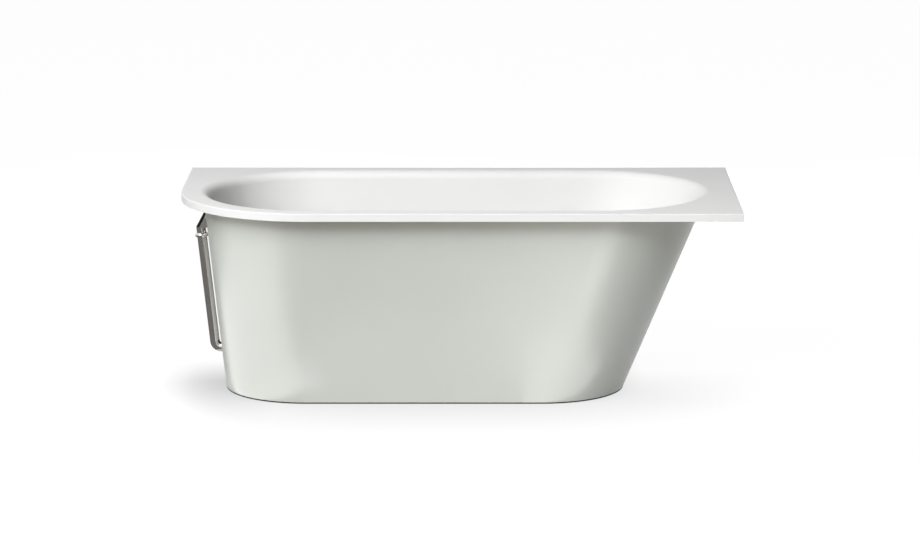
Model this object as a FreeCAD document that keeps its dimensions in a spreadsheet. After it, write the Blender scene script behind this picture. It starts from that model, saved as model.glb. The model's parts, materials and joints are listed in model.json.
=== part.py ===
import FreeCAD, Part
import math
import os
import re
import Sketcher

# Corner bathtub with a one-piece skirt. Millimetres, +X towards the raked head end, +Y towards the
# wall behind, +Z up. The origin is on the floor, under the middle of the rim.
doc = FreeCAD.newDocument("bathtub")
sheet = doc.addObject("Spreadsheet::Sheet", "dims")

# Driving dimensions in millimetres and degrees, one row of the sheet each.
DIMENSIONS = {
    # rim
    "tub_length": 1700,
    "tub_width": 800,
    "tub_height": 605,
    "rim_depth": 24,
    "corner_flat": 4,
    "rim_edge_round": 3,
    "lip_wall": 5,
    "sheet_wall": 6,
    # basin, measured at the sharp edge of the opening before it is rolled over
    "deck_side": 71,
    "deck_foot": 84,
    "deck_head": 99,
    "rim_roll": 28,
    "floor_height": 170,
    "side_slope": 7,
    "end_slope": 6,
    "head_slope": 25,
    "floor_round": 90,
    # skirt, measured at its top edge
    "skirt_wall": 5,
    "skirt_foot": 71,
    "skirt_front": 44,
    "skirt_head": 94,
    "skirt_flat": 40,
    "skirt_rake": 22.7,
    "skirt_tuck": 7,
    "skirt_wall_gap": 10,
    "seal_height": 4,
    "seal_setback": 1,
    # boards under the rim and under the basin
    "batten_foot": 36,
    "batten_head": 60,
    "board_wall": 18,
    "board_margin": 8,
    "board_hole": 56,
    # leg rails, a square tube across the tub at each end of the board
    "rail_inset": 550,
    "rail_margin": 160,
    "rail_width": 40,
    "rail_depth": 25,
    "rail_wall": 2,
    "rail_screw_pitch": 80,
    "screw_access": 8,
    # levelling feet
    "foot_inset": 195,
    "stud_radius": 5,
    "stud_top_gap": 4,
    "pad_radius": 26,
    "pad_edge": 6,
    "pad_height": 18,
    "pad_neck": 9,
    "pad_sole": 8,
    "nut_radius": 9.8,
    "nut_depth": 8,
    "rivet_radius": 8,
    "rivet_depth": 10,
    # brackets that hold the rim to the walls
    "bracket_inset": 350,
    "bracket_back": 280,
    "bracket_width": 60,
    "bracket_drop": 56,
    "bracket_leg": 46,
    "bracket_wall": 3,
    "bracket_bend": 3,
    "bracket_hole": 4,
    "bracket_hole_drop": 19,
    "bracket_hole_pitch": 25,
    "bracket_screw_line": 24,
    "bracket_screw_pitch": 36,
    # wood screws
    "screw_radius": 2.2,
    "screw_length": 13,
    "screw_head": 4.5,
    "screw_head_depth": 2.5,
    # overflow: seat in the foot wall, measured square to that wall
    "overflow_drop": 100,
    "overflow_hole": 26,
    "seat_radius": 38,
    "seat_sink": 0.6,
    "boss_radius": 41,
    "boss_rise": 2.5,
    "gasket_wall": 2.5,
    "gasket_inner": 28,
    # overflow housing, an elbow with a round neck and a slanted lid, measured from the overflow's axis
    "housing_flange": 3.5,
    "housing_flange_radius": 37,
    "housing_bore": 10,
    "housing_top": 32,
    "housing_step": 14.2,
    "housing_half": 14.5,
    "housing_shoulder": 10,
    "housing_drop": 29,
    "housing_wall": 2,
    "branch_rise": 12,
    "branch_drop": 14,
    "spigot_depth": 12,
    "cover_wall": 8.5,
    "cover_crown": 12,
    "cover_tab": 8,
    "cover_tab_wall": 7,
    "collar_radius": 20.5,
    "collar_depth": 13.5,
    "collar_bulge": 4,
    "collar_lip": 2,
    # overflow pipe
    "pipe_outer": 30,
    "pipe_wall": 1.5,
    "pipe_gap": 9,
    "pipe_bend": 21,
    "leg_drop": 60,
    "grommet_neck": 19,
    "grommet_lip": 2.5,
    "grommet_radius": 24,
    # control knob in the basin and the cable that it pulls
    "bridge_ring": 9,
    "bridge_radius": 36,
    "bridge_wall": 3,
    "bridge_bar": 14,
    "bush_radius": 9,
    "bush_depth": 8,
    "clamp_offset": 23,
    "clamp_radius": 2.5,
    "clamp_head": 4.5,
    "clamp_head_depth": 2,
    "spindle_radius": 5,
    "drum_radius": 8,
    "drum_front": 18,
    "drum_width": 7,
    "knob_radius": 35,
    "knob_gap": 5,
    "knob_depth": 15,
    "knob_wall": 4,
    "knob_grips": 8,
    "grip_radius": 7,
    "grip_bite": 2.5,
    "cable_radius": 1.8,
    "cable_bend": 18,
    "holder_wall": 5,
    "holder_width": 10,
    # waste in the basin floor
    "waste_offset": 330,
    "waste_hole": 26,
    "recess_radius": 37,
    "recess_depth": 3,
    "waste_boss_radius": 44,
    "waste_boss_depth": 4,
    "waste_gasket": 1,
    "waste_flange_radius": 36,
    "waste_flange_wall": 2.5,
    "sleeve_radius": 25,
    "sleeve_wall": 2.5,
    "sleeve_length": 28,
    "valve_seat": 6,
    "hub_radius": 7,
    "guide_bars": 3,
    "bar_width": 4,
    "bar_depth": 6,
    "bar_drop": 16,
    "lower_gasket": 4,
    "lower_gasket_radius": 42,
    # plug
    "plug_radius": 31,
    "plug_edge": 2,
    "plug_dome": 4,
    "plug_boss": 22,
    "plug_boss_depth": 6,
    "plug_seal_width": 2.2,
    "plug_seal_inset": 1.2,
    "plug_seal_radius": 22.8,
    "stem_radius": 4,
    # waste body and trap
    "chamber_radius": 43,
    "chamber_wall": 3,
    "chamber_depth": 60,
    "chamber_collar": 16,
    "chamber_skirt": 16,
    "dip_radius": 24,
    "dip_gap": 8.3,
    "inlet_radius": 17.5,
    "inlet_length": 30,
    "union_radius": 22,
    "union_length": 22,
    "cup_wall": 3.7,
    "cup_lap": 12,
    "cup_base": 12,
    "outlet_radius": 20,
    "outlet_spigot": 19.5,
    "outlet_wall": 2,
    "outlet_socket": 36,
    "outlet_seat": 16,
    "outlet_end_gap": 12,
    # clearances
    "seat_gap": 0.3,
    "hole_gap": 4,
    "run_gap": 0.06,
}

for row, (alias, size) in enumerate(DIMENSIONS.items(), start=1):
    sheet.set(f"A{row}", alias)
    sheet.set(f"B{row}", str(size))
    sheet.setAlias(f"B{row}", alias)
doc.recompute()


def linked(expression):
    """The expression with every named dimension read from the sheet."""
    return re.sub(r"[a-z][a-z_]*", lambda word: "dims." + word.group()
                  if word.group() in DIMENSIONS else word.group(), expression)


def value(expression):
    """The number that an expression of named dimensions has now."""
    return float(sheet.evalExpression(linked(expression)))


def bind(feature, **sizes):
    """Bind a feature's properties to expressions of named dimensions."""
    for name, expression in sizes.items():
        feature.setExpression(name, linked(expression))


def place(item, x="0", y="0", z="0", axis=(0, 1, 0), angle="0"):
    """Bind an item's place, and its turn about one axis."""
    item.Placement = FreeCAD.Placement(FreeCAD.Vector(), FreeCAD.Rotation(FreeCAD.Vector(*axis), 1))
    for name, expression in (("Base.x", x), ("Base.y", y), ("Base.z", z), ("Rotation.Angle", angle)):
        item.setExpression(f".Placement.{name}", linked(expression))
    return item


# Sketches and features of a body
def new_body(label):
    body = doc.addObject("PartDesign::Body", label)
    body.Label = label
    return body


def origin_feature(body, role):
    return next(item for item in body.Origin.OriginFeatures if item.Role == role)


def new_sketch(body, name, role="XY_Plane", height="0"):
    sketch = body.newObject("Sketcher::SketchObject", name)
    sketch.AttachmentSupport = [(origin_feature(body, role), "")]
    sketch.MapMode = "FlatFace"
    sketch.setExpression(".AttachmentOffset.Base.z", linked(height))
    return sketch


def tie(sketch, kind, places, expression):
    """Add one dimension to a sketch and bind it."""
    number = sketch.addConstraint(Sketcher.Constraint(kind, *places, value(expression)))
    sketch.renameConstraint(number, f"size{number}")
    sketch.setExpression(f"Constraints.size{number}", linked(expression))


def draw_run(start, end, radius):
    """A straight run, or an arc that turns left for a positive radius and right for a negative one."""
    if radius is None:
        return Part.LineSegment(start, end)
    chord = end - start
    side = FreeCAD.Vector(-chord.y, chord.x, 0).normalize()
    reach = math.sqrt(max(radius ** 2 - chord.Length ** 2 / 4, 0))
    centre = (start + end) / 2 + side * math.copysign(reach, radius)
    first, last = (start, end) if radius > 0 else (end, start)
    circle = Part.Circle(centre, FreeCAD.Vector(0, 0, 1), abs(radius))
    return Part.ArcOfCircle(circle, circle.parameter(first), circle.parameter(last))


def trace(sketch, path, closed=True):
    """Draw runs through a path of (x, y) corners; a third value is the radius of the arc to the next
    corner, with a minus sign where the arc turns right."""
    corners = [FreeCAD.Vector(value(step[0]), value(step[1]), 0) for step in path]
    runs = path if closed else path[:-1]
    base = sketch.GeometryCount
    heads = []
    for index, step in enumerate(runs):
        radius = value(step[2]) if len(step) == 3 else None
        sketch.addGeometry(draw_run(corners[index], corners[(index + 1) % len(path)], radius))
        heads.append((1, 2) if radius is None or radius > 0 else (2, 1))
        tie(sketch, "DistanceX", (-1, 1, base + index, heads[index][0]), step[0])
        tie(sketch, "DistanceY", (-1, 1, base + index, heads[index][0]), step[1])
        if radius is not None:
            tie(sketch, "Radius", (base + index,), step[2].lstrip("-"))
    for index in range(len(runs) if closed else len(runs) - 1):
        after = (index + 1) % len(runs)
        sketch.addConstraint(Sketcher.Constraint("Coincident", base + index, heads[index][1],
                                                 base + after, heads[after][0]))
    if not closed:
        last = len(runs) - 1
        tie(sketch, "DistanceX", (-1, 1, base + last, heads[last][1]), path[-1][0])
        tie(sketch, "DistanceY", (-1, 1, base + last, heads[last][1]), path[-1][1])


def draw_circle(sketch, radius, x="0", y="0"):
    centre = FreeCAD.Vector(value(x), value(y), 0)
    number = sketch.addGeometry(Part.Circle(centre, FreeCAD.Vector(0, 0, 1), value(radius)))
    tie(sketch, "DistanceX", (-1, 1, number, 3), x)
    tie(sketch, "DistanceY", (-1, 1, number, 3), y)
    tie(sketch, "Radius", (number,), radius)


def rectangle(low_x, high_x, low_y, high_y):
    return [(low_x, low_y), (high_x, low_y), (high_x, high_y), (low_x, high_y)]


def add_feature(body, kind, name, sketch, **sizes):
    feature = body.newObject(f"PartDesign::{kind}", name)
    feature.Profile = sketch
    bind(feature, **sizes)
    return feature


def add_middle(body, kind, name, sketch, length):
    """A pad or pocket that reaches as far on both sides of its sketch."""
    feature = add_feature(body, kind, name, sketch, Length=length)
    feature.SideType = "Symmetric"
    return feature


def add_loft(body, kind, name, first, second):
    feature = add_feature(body, kind, name, first)
    feature.Sections = [second]
    feature.Ruled = True
    return feature


def add_turn(body, name, path, role):
    """Turn a closed path of the XZ plane about the body's own X or Z axis."""
    sketch = new_sketch(body, name + "_profile", "XZ_Plane")
    trace(sketch, path)
    feature = add_feature(body, "Revolution", name, sketch)
    feature.ReferenceAxis = (origin_feature(body, role), [""])
    feature.Angle = 360
    return feature


def add_polar(body, name, original, role, count):
    pattern = body.newObject("PartDesign::PolarPattern", name)
    pattern.Originals = [original]
    pattern.Axis = (origin_feature(body, role), [""])
    pattern.Angle = 360
    bind(pattern, Occurrences=count)
    body.Tip = pattern
    return pattern


def round_edges(body, name, radius, wanted):
    """Fillet the edges of the body's last feature that the test picks."""
    doc.recompute()
    base = body.Tip
    names = [f"Edge{number}" for number, edge in enumerate(base.Shape.Edges, start=1) if wanted(edge)]
    feature = body.newObject("PartDesign::Fillet", name)
    feature.Base = (base, names)
    bind(feature, Radius=radius)
    return feature


def turned(label, path, role="Z_Axis"):
    body = new_body(label)
    add_turn(body, label + "_turn", path, role)
    return body


NEAR = 1e-3


def flat_at(height):
    """A test for edges that lie level at one height."""
    level = value(height)
    return lambda edge: abs(edge.BoundBox.ZMin - level) < NEAR and abs(edge.BoundBox.ZMax - level) < NEAR


# Rods and booleans
TURNS = {"X": ((0, 1, 0), "90"), "Y": ((1, 0, 0), "-90"), "Z": ((0, 0, 1), "0")}


def rod(name, radius, length, direction, x, y, z):
    """A round bar from a point, along +X, +Y or +Z."""
    bar = doc.addObject("Part::Cylinder", name)
    bind(bar, Radius=radius, Height=length)
    axis, angle = TURNS[direction]
    return place(bar, x, y, z, axis, angle)


def block(name, length, width, height, x, y, z):
    box = doc.addObject("Part::Box", name)
    bind(box, Length=length, Width=width, Height=height)
    return place(box, x, y, z)


def fuse(label, *items):
    feature = doc.addObject("Part::MultiFuse", label)
    feature.Label = label
    feature.Shapes = list(items)
    return feature


def cut(label, base, *tools):
    """Take every tool out of the base, one after the other."""
    for number, tool in enumerate(tools, start=1):
        feature = doc.addObject("Part::Cut", f"{label}_cut_{number}")
        feature.Base = base
        feature.Tool = tool
        base = feature
    base.Label = label
    return base


def common(label, first, second):
    """What two forms share."""
    feature = doc.addObject("Part::MultiCommon", label)
    feature.Label = label
    feature.Shapes = [first, second]
    return feature


def group(label, items):
    """Separate solids of one kind, kept together."""
    feature = doc.addObject("Part::Compound", label)
    feature.Label = label
    feature.Links = list(items)
    return feature


def ring(label, inner, outer, low, high):
    return turned(label, rectangle(inner, outer, low, high))


# Heights and places that several pieces share
RIM_TOP = "tub_height"
RIM_UNDER = "(tub_height - rim_depth)"
RIM_CORNER = "(tub_width / 2 - corner_flat)"
BASIN_FLOOR = "floor_height"
BASIN_DEPTH = "(tub_height - floor_height)"
FLOOR_UNDER = f"({BASIN_FLOOR} - sheet_wall)"
BOARD_UNDER = f"({FLOOR_UNDER} - board_wall)"
RAIL_UNDER = f"({BOARD_UNDER} - rail_depth)"
SKIRT_TOP = f"({RIM_UNDER} + skirt_tuck)"
SKIRT_CORNER = "(tub_width / 2 - skirt_front - skirt_flat)"
SKIRT_BACK = "(tub_width / 2 - skirt_wall_gap)"
BEHIND_SKIRT = "(tub_width / 2 + skirt_wall_gap)"

# Square to the foot wall, outwards from its wet face at the overflow
OVERFLOW_X = "(-tub_length / 2 + deck_foot + overflow_drop * tan(end_slope))"
OVERFLOW_Z = "(tub_height - overflow_drop)"
SKIRT_FACE = "((deck_foot - skirt_foot + (rim_depth - skirt_tuck) * tan(end_slope)) * cos(end_slope))"
BOSS_FACE = "(sheet_wall + boss_rise)"
FLANGE_FRONT = f"({BOSS_FACE} + gasket_wall)"
FLANGE_BACK = f"({FLANGE_FRONT} + housing_flange)"
PIPE_AXIS = f"({SKIRT_FACE} + pipe_gap + pipe_outer / 2)"
BRIDGE_FRONT = "(bridge_wall - seat_sink)"

# The overflow pipe's upper end, and the leg that it has under the basin
PIPE_TOP = "(housing_drop + collar_lip + seat_gap)"
PIPE_X = f"({OVERFLOW_X} - {PIPE_AXIS} * cos(end_slope) + {PIPE_TOP} * sin(end_slope))"
PIPE_Z = f"({OVERFLOW_Z} - {PIPE_AXIS} * sin(end_slope) - {PIPE_TOP} * cos(end_slope))"
LEG_HEIGHT = f"({BASIN_FLOOR} - leg_drop)"
PIPE_RUN = f"(({PIPE_Z} - {LEG_HEIGHT}) / cos(end_slope))"
LEG_START = f"({PIPE_X} + {PIPE_RUN} * sin(end_slope))"
SKIRT_AT_LEG = f"(-tub_length / 2 + skirt_foot + ({SKIRT_TOP} - {LEG_HEIGHT}) * tan(end_slope))"

# Waste, from the basin floor down
WASTE_X = "(-tub_length / 2 + waste_offset)"
RECESS_FLOOR = f"({BASIN_FLOOR} - recess_depth)"
WASTE_TOP = f"({RECESS_FLOOR} + waste_gasket + waste_flange_wall)"
BOSS_UNDER = f"({FLOOR_UNDER} - waste_boss_depth)"
CHAMBER_TOP = f"({BOSS_UNDER} - lower_gasket)"
CHAMBER_FLOOR = f"({CHAMBER_TOP} - chamber_depth)"
CHAMBER_END = f"({CHAMBER_FLOOR} - chamber_skirt)"
INLET_END = f"({WASTE_X} - chamber_radius - inlet_length)"
DIP_END = "(cup_base + cup_wall + dip_gap)"
PLUG_UNDER = f"({WASTE_TOP} + seat_gap)"
CABLE_END = f"({LEG_HEIGHT} + cable_bend + holder_wall)"


def on_foot_wall(item):
    """Put a body in the overflow's own frame: X square to the foot wall and into the basin."""
    return place(item, OVERFLOW_X, "0", OVERFLOW_Z, (0, 1, 0), "-end_slope")


def foot_wall_rod(name, radius, start, length, rise="0"):
    """A round bar square to the foot wall, from a distance outside its wet face inwards."""
    bar = doc.addObject("Part::Cylinder", name)
    bind(bar, Radius=radius, Height=length)
    return place(bar, f"{OVERFLOW_X} - ({start}) * cos(end_slope) - ({rise}) * sin(end_slope)", "0",
                 f"{OVERFLOW_Z} - ({start}) * sin(end_slope) + ({rise}) * cos(end_slope)",
                 (0, 1, 0), "90 - end_slope")


def pipe_rod(name, radius, low, high):
    """A round bar on the overflow pipe's axis, between two heights of the overflow's own frame."""
    bar = doc.addObject("Part::Cylinder", name)
    bind(bar, Radius=radius, Height=f"({high}) - ({low})")
    return place(bar, f"{OVERFLOW_X} - {PIPE_AXIS} * cos(end_slope) - ({low}) * sin(end_slope)", "0",
                 f"{OVERFLOW_Z} - {PIPE_AXIS} * sin(end_slope) + ({low}) * cos(end_slope)",
                 (0, 1, 0), "-end_slope")


# Rim and basin
def rim_outline(inset):
    """The rim seen from above, with its one round corner at the front of the foot end."""
    foot = f"(-tub_length / 2 + {inset})"
    head = f"(tub_length / 2 - {inset})"
    front = f"(-tub_width / 2 + {inset})"
    back = f"(tub_width / 2 - {inset})"
    radius = f"({RIM_CORNER} - {inset})"
    return [
        (foot, f"({front} + {radius})", radius),
        (f"({foot} + {radius})", front),
        (head, front),
        (head, back),
        (foot, back),
    ]


def rim_outline_edges():
    """A test for edges on the outside of the rim."""
    half_length = value("tub_length / 2")
    half_width = value("tub_width / 2")
    radius = value(RIM_CORNER)

    def on_outline(edge):
        middle = edge.valueAt((edge.FirstParameter + edge.LastParameter) / 2)
        from_corner = math.hypot(middle.x + half_length - radius, middle.y + half_width - radius)
        off_rim = (abs(middle.x) - half_length, abs(middle.y) - half_width, from_corner - radius)
        return any(abs(distance) < NEAR for distance in off_rim)

    return on_outline


def stadium(foot, head, radius):
    return [
        (foot, "0", radius),
        (f"({foot} + {radius})", f"-{radius}"),
        (f"({head} - {radius})", f"-{radius}", radius),
        (head, "0", radius),
        (f"({head} - {radius})", radius),
        (f"({foot} + {radius})", radius, radius),
    ]


def basin_ends(depth, wall, flat="0"):
    """Foot end, head end and end radius of the basin at a depth under the rim, grown outwards by a
    wall, and drawn in by what a round of the flat's radius takes from the floor."""
    radius = (f"(tub_width / 2 - deck_side - {depth} * tan(side_slope) + {wall} / cos(side_slope)"
              f" - {flat} * tan(45 - side_slope / 2))")
    foot = (f"(-tub_length / 2 + deck_foot + {depth} * tan(end_slope) - {wall} / cos(end_slope)"
            f" + {flat} * tan(45 - end_slope / 2))")
    head = (f"(tub_length / 2 - deck_head - {depth} * tan(head_slope) + {wall} / cos(head_slope)"
            f" - {flat} * tan(45 - head_slope / 2))")
    return foot, head, radius


def basin_form(label, wall):
    """A slab with the rim's outline and the basin hanging under it, one wall outside the wet face."""
    body = new_body(label)
    level = f"(tub_height - {wall})"
    floor = f"({BASIN_FLOOR} - {wall})"
    slab = new_sketch(body, label + "_slab_outline", height=level)
    trace(slab, rim_outline("0"))
    add_feature(body, "Pad", label + "_slab", slab, Length="sheet_wall")
    opening = new_sketch(body, label + "_opening", height=level)
    trace(opening, stadium(*basin_ends(wall, wall)))
    bottom = new_sketch(body, label + "_floor", height=floor)
    trace(bottom, stadium(*basin_ends(f"({BASIN_DEPTH} + {wall})", wall)))
    add_loft(body, "AdditiveLoft", label + "_basin", opening, bottom)
    on_rim = rim_outline_edges()
    round_edges(body, label + "_roll", f"rim_roll - {wall}",
                lambda edge: flat_at(level)(edge) and not on_rim(edge))
    round_edges(body, label + "_curve", f"floor_round + {wall}", flat_at(floor))
    return body


def make_tub_shell():
    """Rim and basin in one formed sheet, with flat seats for the overflow and the waste."""
    outside = basin_form("outside", "sheet_wall")
    lip = new_sketch(outside, "lip_outline", height=RIM_UNDER)
    trace(lip, rim_outline("0"))
    trace(lip, rim_outline("lip_wall"))
    add_feature(outside, "Pad", "lip", lip, Length="rim_depth - sheet_wall")
    on_rim = rim_outline_edges()
    round_edges(outside, "rim_edge", "rim_edge_round", lambda edge: flat_at(RIM_TOP)(edge) and on_rim(edge))
    overflow_boss = foot_wall_rod("overflow_boss", "boss_radius", BOSS_FACE, f"{BOSS_FACE} - sheet_wall / 2")
    waste_boss = rod("waste_boss", "waste_boss_radius", "waste_boss_depth + sheet_wall / 2", "Z",
                     WASTE_X, "0", BOSS_UNDER)
    sheet_form = fuse("tub_form", outside, overflow_boss, waste_boss)
    overflow_seat = foot_wall_rod("overflow_seat", "seat_radius", "seat_sink", "sheet_wall + seat_sink")
    overflow_hole = foot_wall_rod("overflow_hole", "overflow_hole", f"{BOSS_FACE} + 1", f"2 * {BOSS_FACE}")
    waste_recess = rod("waste_recess", "recess_radius", "2 * recess_depth", "Z", WASTE_X, "0", RECESS_FLOOR)
    waste_hole = rod("waste_hole", "waste_hole", f"{BASIN_FLOOR} - {CHAMBER_TOP}", "Z",
                     WASTE_X, "0", CHAMBER_TOP)
    return cut("tub_shell", sheet_form, basin_form("inside", "0"), overflow_seat, overflow_hole,
               waste_recess, waste_hole)


# Skirt
def skirt_section(height, inset, back):
    """The skirt at a height, moved inwards by an inset, and closed along a line at the back."""
    drop = f"({SKIRT_TOP} - {height})"
    square = f"{inset} / cos(end_slope)"
    foot = f"(-tub_length / 2 + skirt_foot + {drop} * tan(end_slope) + {square})"
    front = f"(-tub_width / 2 + skirt_front + {drop} * tan(end_slope) + {square})"
    head = f"(tub_length / 2 - skirt_head - {drop} * tan(skirt_rake) - {inset} / cos(skirt_rake))"
    radius = f"({SKIRT_CORNER} - {drop} * tan(end_slope) - {square})"
    return [
        (foot, f"({front} + {radius})", radius),
        (f"({foot} + {radius})", front),
        (f"({head} - {radius})", front, radius),
        (head, f"({front} + {radius})"),
        (head, back),
        (foot, back),
    ]


def make_skirt():
    """Thin panel round the front and both ends, open towards the wall behind."""
    body = new_body("skirt_form")
    for kind, inset, back in (("Additive", "0", SKIRT_BACK), ("Subtractive", "skirt_wall", BEHIND_SKIRT)):
        base = new_sketch(body, kind + "_base", height="seal_height")
        trace(base, skirt_section("seal_height", inset, back))
        top = new_sketch(body, kind + "_top", height=SKIRT_TOP)
        trace(top, skirt_section(SKIRT_TOP, inset, back))
        add_loft(body, kind + "Loft", kind + "_loft", base, top)
    housing_hole = foot_wall_rod("skirt_housing_hole", "housing_flange_radius + hole_gap",
                                 f"{SKIRT_FACE} + skirt_wall", "3 * skirt_wall")
    pipe_hole = rod("skirt_pipe_hole", "grommet_neck + seat_gap", "4 * skirt_wall", "X",
                    f"{SKIRT_AT_LEG} - 2 * skirt_wall", "0", LEG_HEIGHT)
    batten_notch = block("skirt_batten_notch", "tub_length", "skirt_front", "rim_depth", "-tub_length / 2",
                         "tub_width / 2 - skirt_front", f"{RIM_UNDER} - seat_gap")
    return cut("skirt", body, housing_hole, pipe_hole, batten_notch)


def make_floor_seal():
    """Rubber edging under the skirt, set back a little behind its face."""
    body = new_body("floor_seal")
    outline = new_sketch(body, "seal_outline")
    trace(outline, skirt_section("seal_height", "seal_setback", SKIRT_BACK))
    add_feature(body, "Pad", "seal_pad", outline, Length="seal_height")
    middle = new_sketch(body, "seal_inside")
    trace(middle, skirt_section("seal_height", "skirt_wall", BEHIND_SKIRT))
    pocket = add_feature(body, "Pocket", "seal_pocket", middle, Length="seal_height")
    pocket.Reversed = True
    return body


# Boards, rails and feet
def wood_screw(name, x, y, seat):
    """A screw driven upwards, with its head under the seat."""
    head = rod(name + "_head", "screw_head", "screw_head_depth", "Z", x, y, f"{seat} - screw_head_depth")
    shank = rod(name + "_shank", "screw_radius", "screw_length", "Z", x, y, seat)
    return fuse(name, head, shank)


def screw_hole(name, x, y, seat):
    return rod(name, "screw_radius + run_gap", "screw_length + seat_gap", "Z", x, y, seat)


BATTEN_OUT = "(lip_wall + seat_gap)"
BATTEN_IN = "(skirt_front - seat_gap)"
FOOT_BATTEN_IN = f"({BATTEN_OUT} + batten_foot)"
HEAD_BATTEN_IN = f"({BATTEN_OUT} + batten_head)"

# Brackets: name, place along the rim, place across it, and turn about Z
BRACKETS = [
    ("wall_bracket_foot", "(bracket_inset - tub_length / 2)", "tub_width / 2", "0"),
    ("wall_bracket_middle", "(tub_length / 2 - bracket_inset)", "tub_width / 2", "0"),
    ("wall_bracket_head", "tub_length / 2", "(tub_width / 2 - bracket_back)", "-90"),
]


def bracket_screws(bracket):
    """Where a bracket's two wood screws stand: x and y."""
    _, x, y, turn = bracket
    for side in ("-1", "1"):
        along = f"{side} * bracket_screw_pitch / 2"
        if turn == "0":
            yield f"({x} + {along})", f"({y} - bracket_screw_line)"
        else:
            yield f"({x} - bracket_screw_line)", f"({y} + {along})"


def make_batten(label, path, brackets=()):
    body = new_body(label + "_board")
    outline = new_sketch(body, label + "_outline", height=RIM_UNDER)
    trace(outline, path)
    add_feature(body, "Pad", label + "_pad", outline, Length="rim_depth - sheet_wall")
    holes = [screw_hole(label + "_hole", x, y, RIM_UNDER)
             for bracket in brackets for x, y in bracket_screws(bracket)]
    if holes:
        return cut(label, body, *holes)
    body.Label = label
    return body


def make_battens():
    """Boards glued under the rim: one follows the round corner, and the head board is wider."""
    foot = "(-tub_length / 2 + {})".format
    head = "(tub_length / 2 - {})".format
    front = "(-tub_width / 2 + {})".format
    back = "(tub_width / 2 - {})".format
    behind = back(f"({BATTEN_IN} + seat_gap)")
    corner_x = foot(RIM_CORNER)
    corner_y = front(RIM_CORNER)
    return [
        make_batten("rim_batten_foot", [
            (foot(BATTEN_OUT), corner_y, f"({RIM_CORNER} - {BATTEN_OUT})"),
            (corner_x, front(BATTEN_OUT)),
            (corner_x, front(FOOT_BATTEN_IN), f"-({RIM_CORNER} - {FOOT_BATTEN_IN})"),
            (foot(FOOT_BATTEN_IN), corner_y),
            (foot(FOOT_BATTEN_IN), behind),
            (foot(BATTEN_OUT), behind),
        ]),
        make_batten("rim_batten_front", rectangle(
            f"({corner_x} + seat_gap)", head(f"({HEAD_BATTEN_IN} + seat_gap)"),
            front(BATTEN_OUT), front(BATTEN_IN))),
        make_batten("rim_batten_back", rectangle(
            foot(BATTEN_OUT), head(BATTEN_OUT), back(BATTEN_IN), back(BATTEN_OUT)), BRACKETS[:2]),
        make_batten("rim_batten_head", rectangle(
            head(HEAD_BATTEN_IN), head(BATTEN_OUT), front(BATTEN_OUT), behind), BRACKETS[2:]),
    ]


def make_bracket(bracket):
    """Bent steel angle: one leg under the batten, the other against the wall with two bolt holes."""
    label, x, y, turn = bracket
    body = new_body(label)
    profile = new_sketch(body, label + "_profile", "YZ_Plane")
    trace(profile, [
        ("0", "0"),
        ("-bracket_leg", "0"),
        ("-bracket_leg", "-bracket_wall"),
        ("-bracket_wall", "-bracket_wall"),
        ("-bracket_wall", "-bracket_drop"),
        ("0", "-bracket_drop"),
    ])
    add_middle(body, "Pad", label + "_pad", profile, "bracket_width")
    inner = (value("-bracket_wall"), value("-bracket_wall"))
    round_edges(body, label + "_bend", "bracket_bend", lambda edge: edge.BoundBox.YLength < NEAR
                and math.hypot(edge.BoundBox.YMin - inner[0], edge.BoundBox.ZMin - inner[1]) < NEAR)
    bolts = new_sketch(body, label + "_bolts", "XZ_Plane")
    for drop in ("bracket_hole_drop", "(bracket_hole_drop + bracket_hole_pitch)"):
        draw_circle(bolts, "bracket_hole", "0", f"-{drop}")
    add_middle(body, "Pocket", label + "_bolt_holes", bolts, "4 * bracket_wall")
    screws = new_sketch(body, label + "_screws")
    for side in ("-1", "1"):
        draw_circle(screws, "screw_radius + seat_gap",
                    f"{side} * bracket_screw_pitch / 2", "-bracket_screw_line")
    add_middle(body, "Pocket", label + "_screw_holes", screws, "4 * bracket_wall")
    return place(body, x, y, RIM_UNDER, (0, 0, 1), turn)


def make_bracket_screws():
    screws = [wood_screw("bracket_screw", x, y, f"({RIM_UNDER} - bracket_wall)")
              for bracket in BRACKETS for x, y in bracket_screws(bracket)]
    return group("bracket_screws", screws)


RAILS = {"foot": "(rail_inset - tub_length / 2)", "head": "(tub_length / 2 - rail_inset)"}
SIDES = {"front": "(foot_inset - tub_width / 2)", "back": "(tub_width / 2 - foot_inset)"}
RAIL_SCREW_PLACES = ["-1.5 * rail_screw_pitch", "-0.5 * rail_screw_pitch",
                     "0.5 * rail_screw_pitch", "1.5 * rail_screw_pitch"]
RAIL_ROOF = f"({BOARD_UNDER} - rail_wall)"


def make_base_board():
    """Board glued under the flat of the basin floor, cut out for the waste."""
    body = new_body("base_board_form")
    foot, head, radius = basin_ends(f"({BASIN_DEPTH} + sheet_wall)", "sheet_wall",
                                    "(floor_round + sheet_wall)")
    outline = new_sketch(body, "board_outline", height=BOARD_UNDER)
    trace(outline, stadium(f"({foot} + board_margin)", f"({head} - board_margin)",
                           f"({radius} - board_margin)"))
    add_feature(body, "Pad", "board_pad", outline, Length="board_wall")
    waste = rod("board_waste_hole", "board_hole", "2 * board_wall", "Z", WASTE_X, "0",
                f"{BOARD_UNDER} - board_wall / 2")
    holes = [screw_hole("board_screw_hole", x, y, BOARD_UNDER)
             for x in RAILS.values() for y in RAIL_SCREW_PLACES]
    return cut("base_board", body, waste, *holes)


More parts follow.
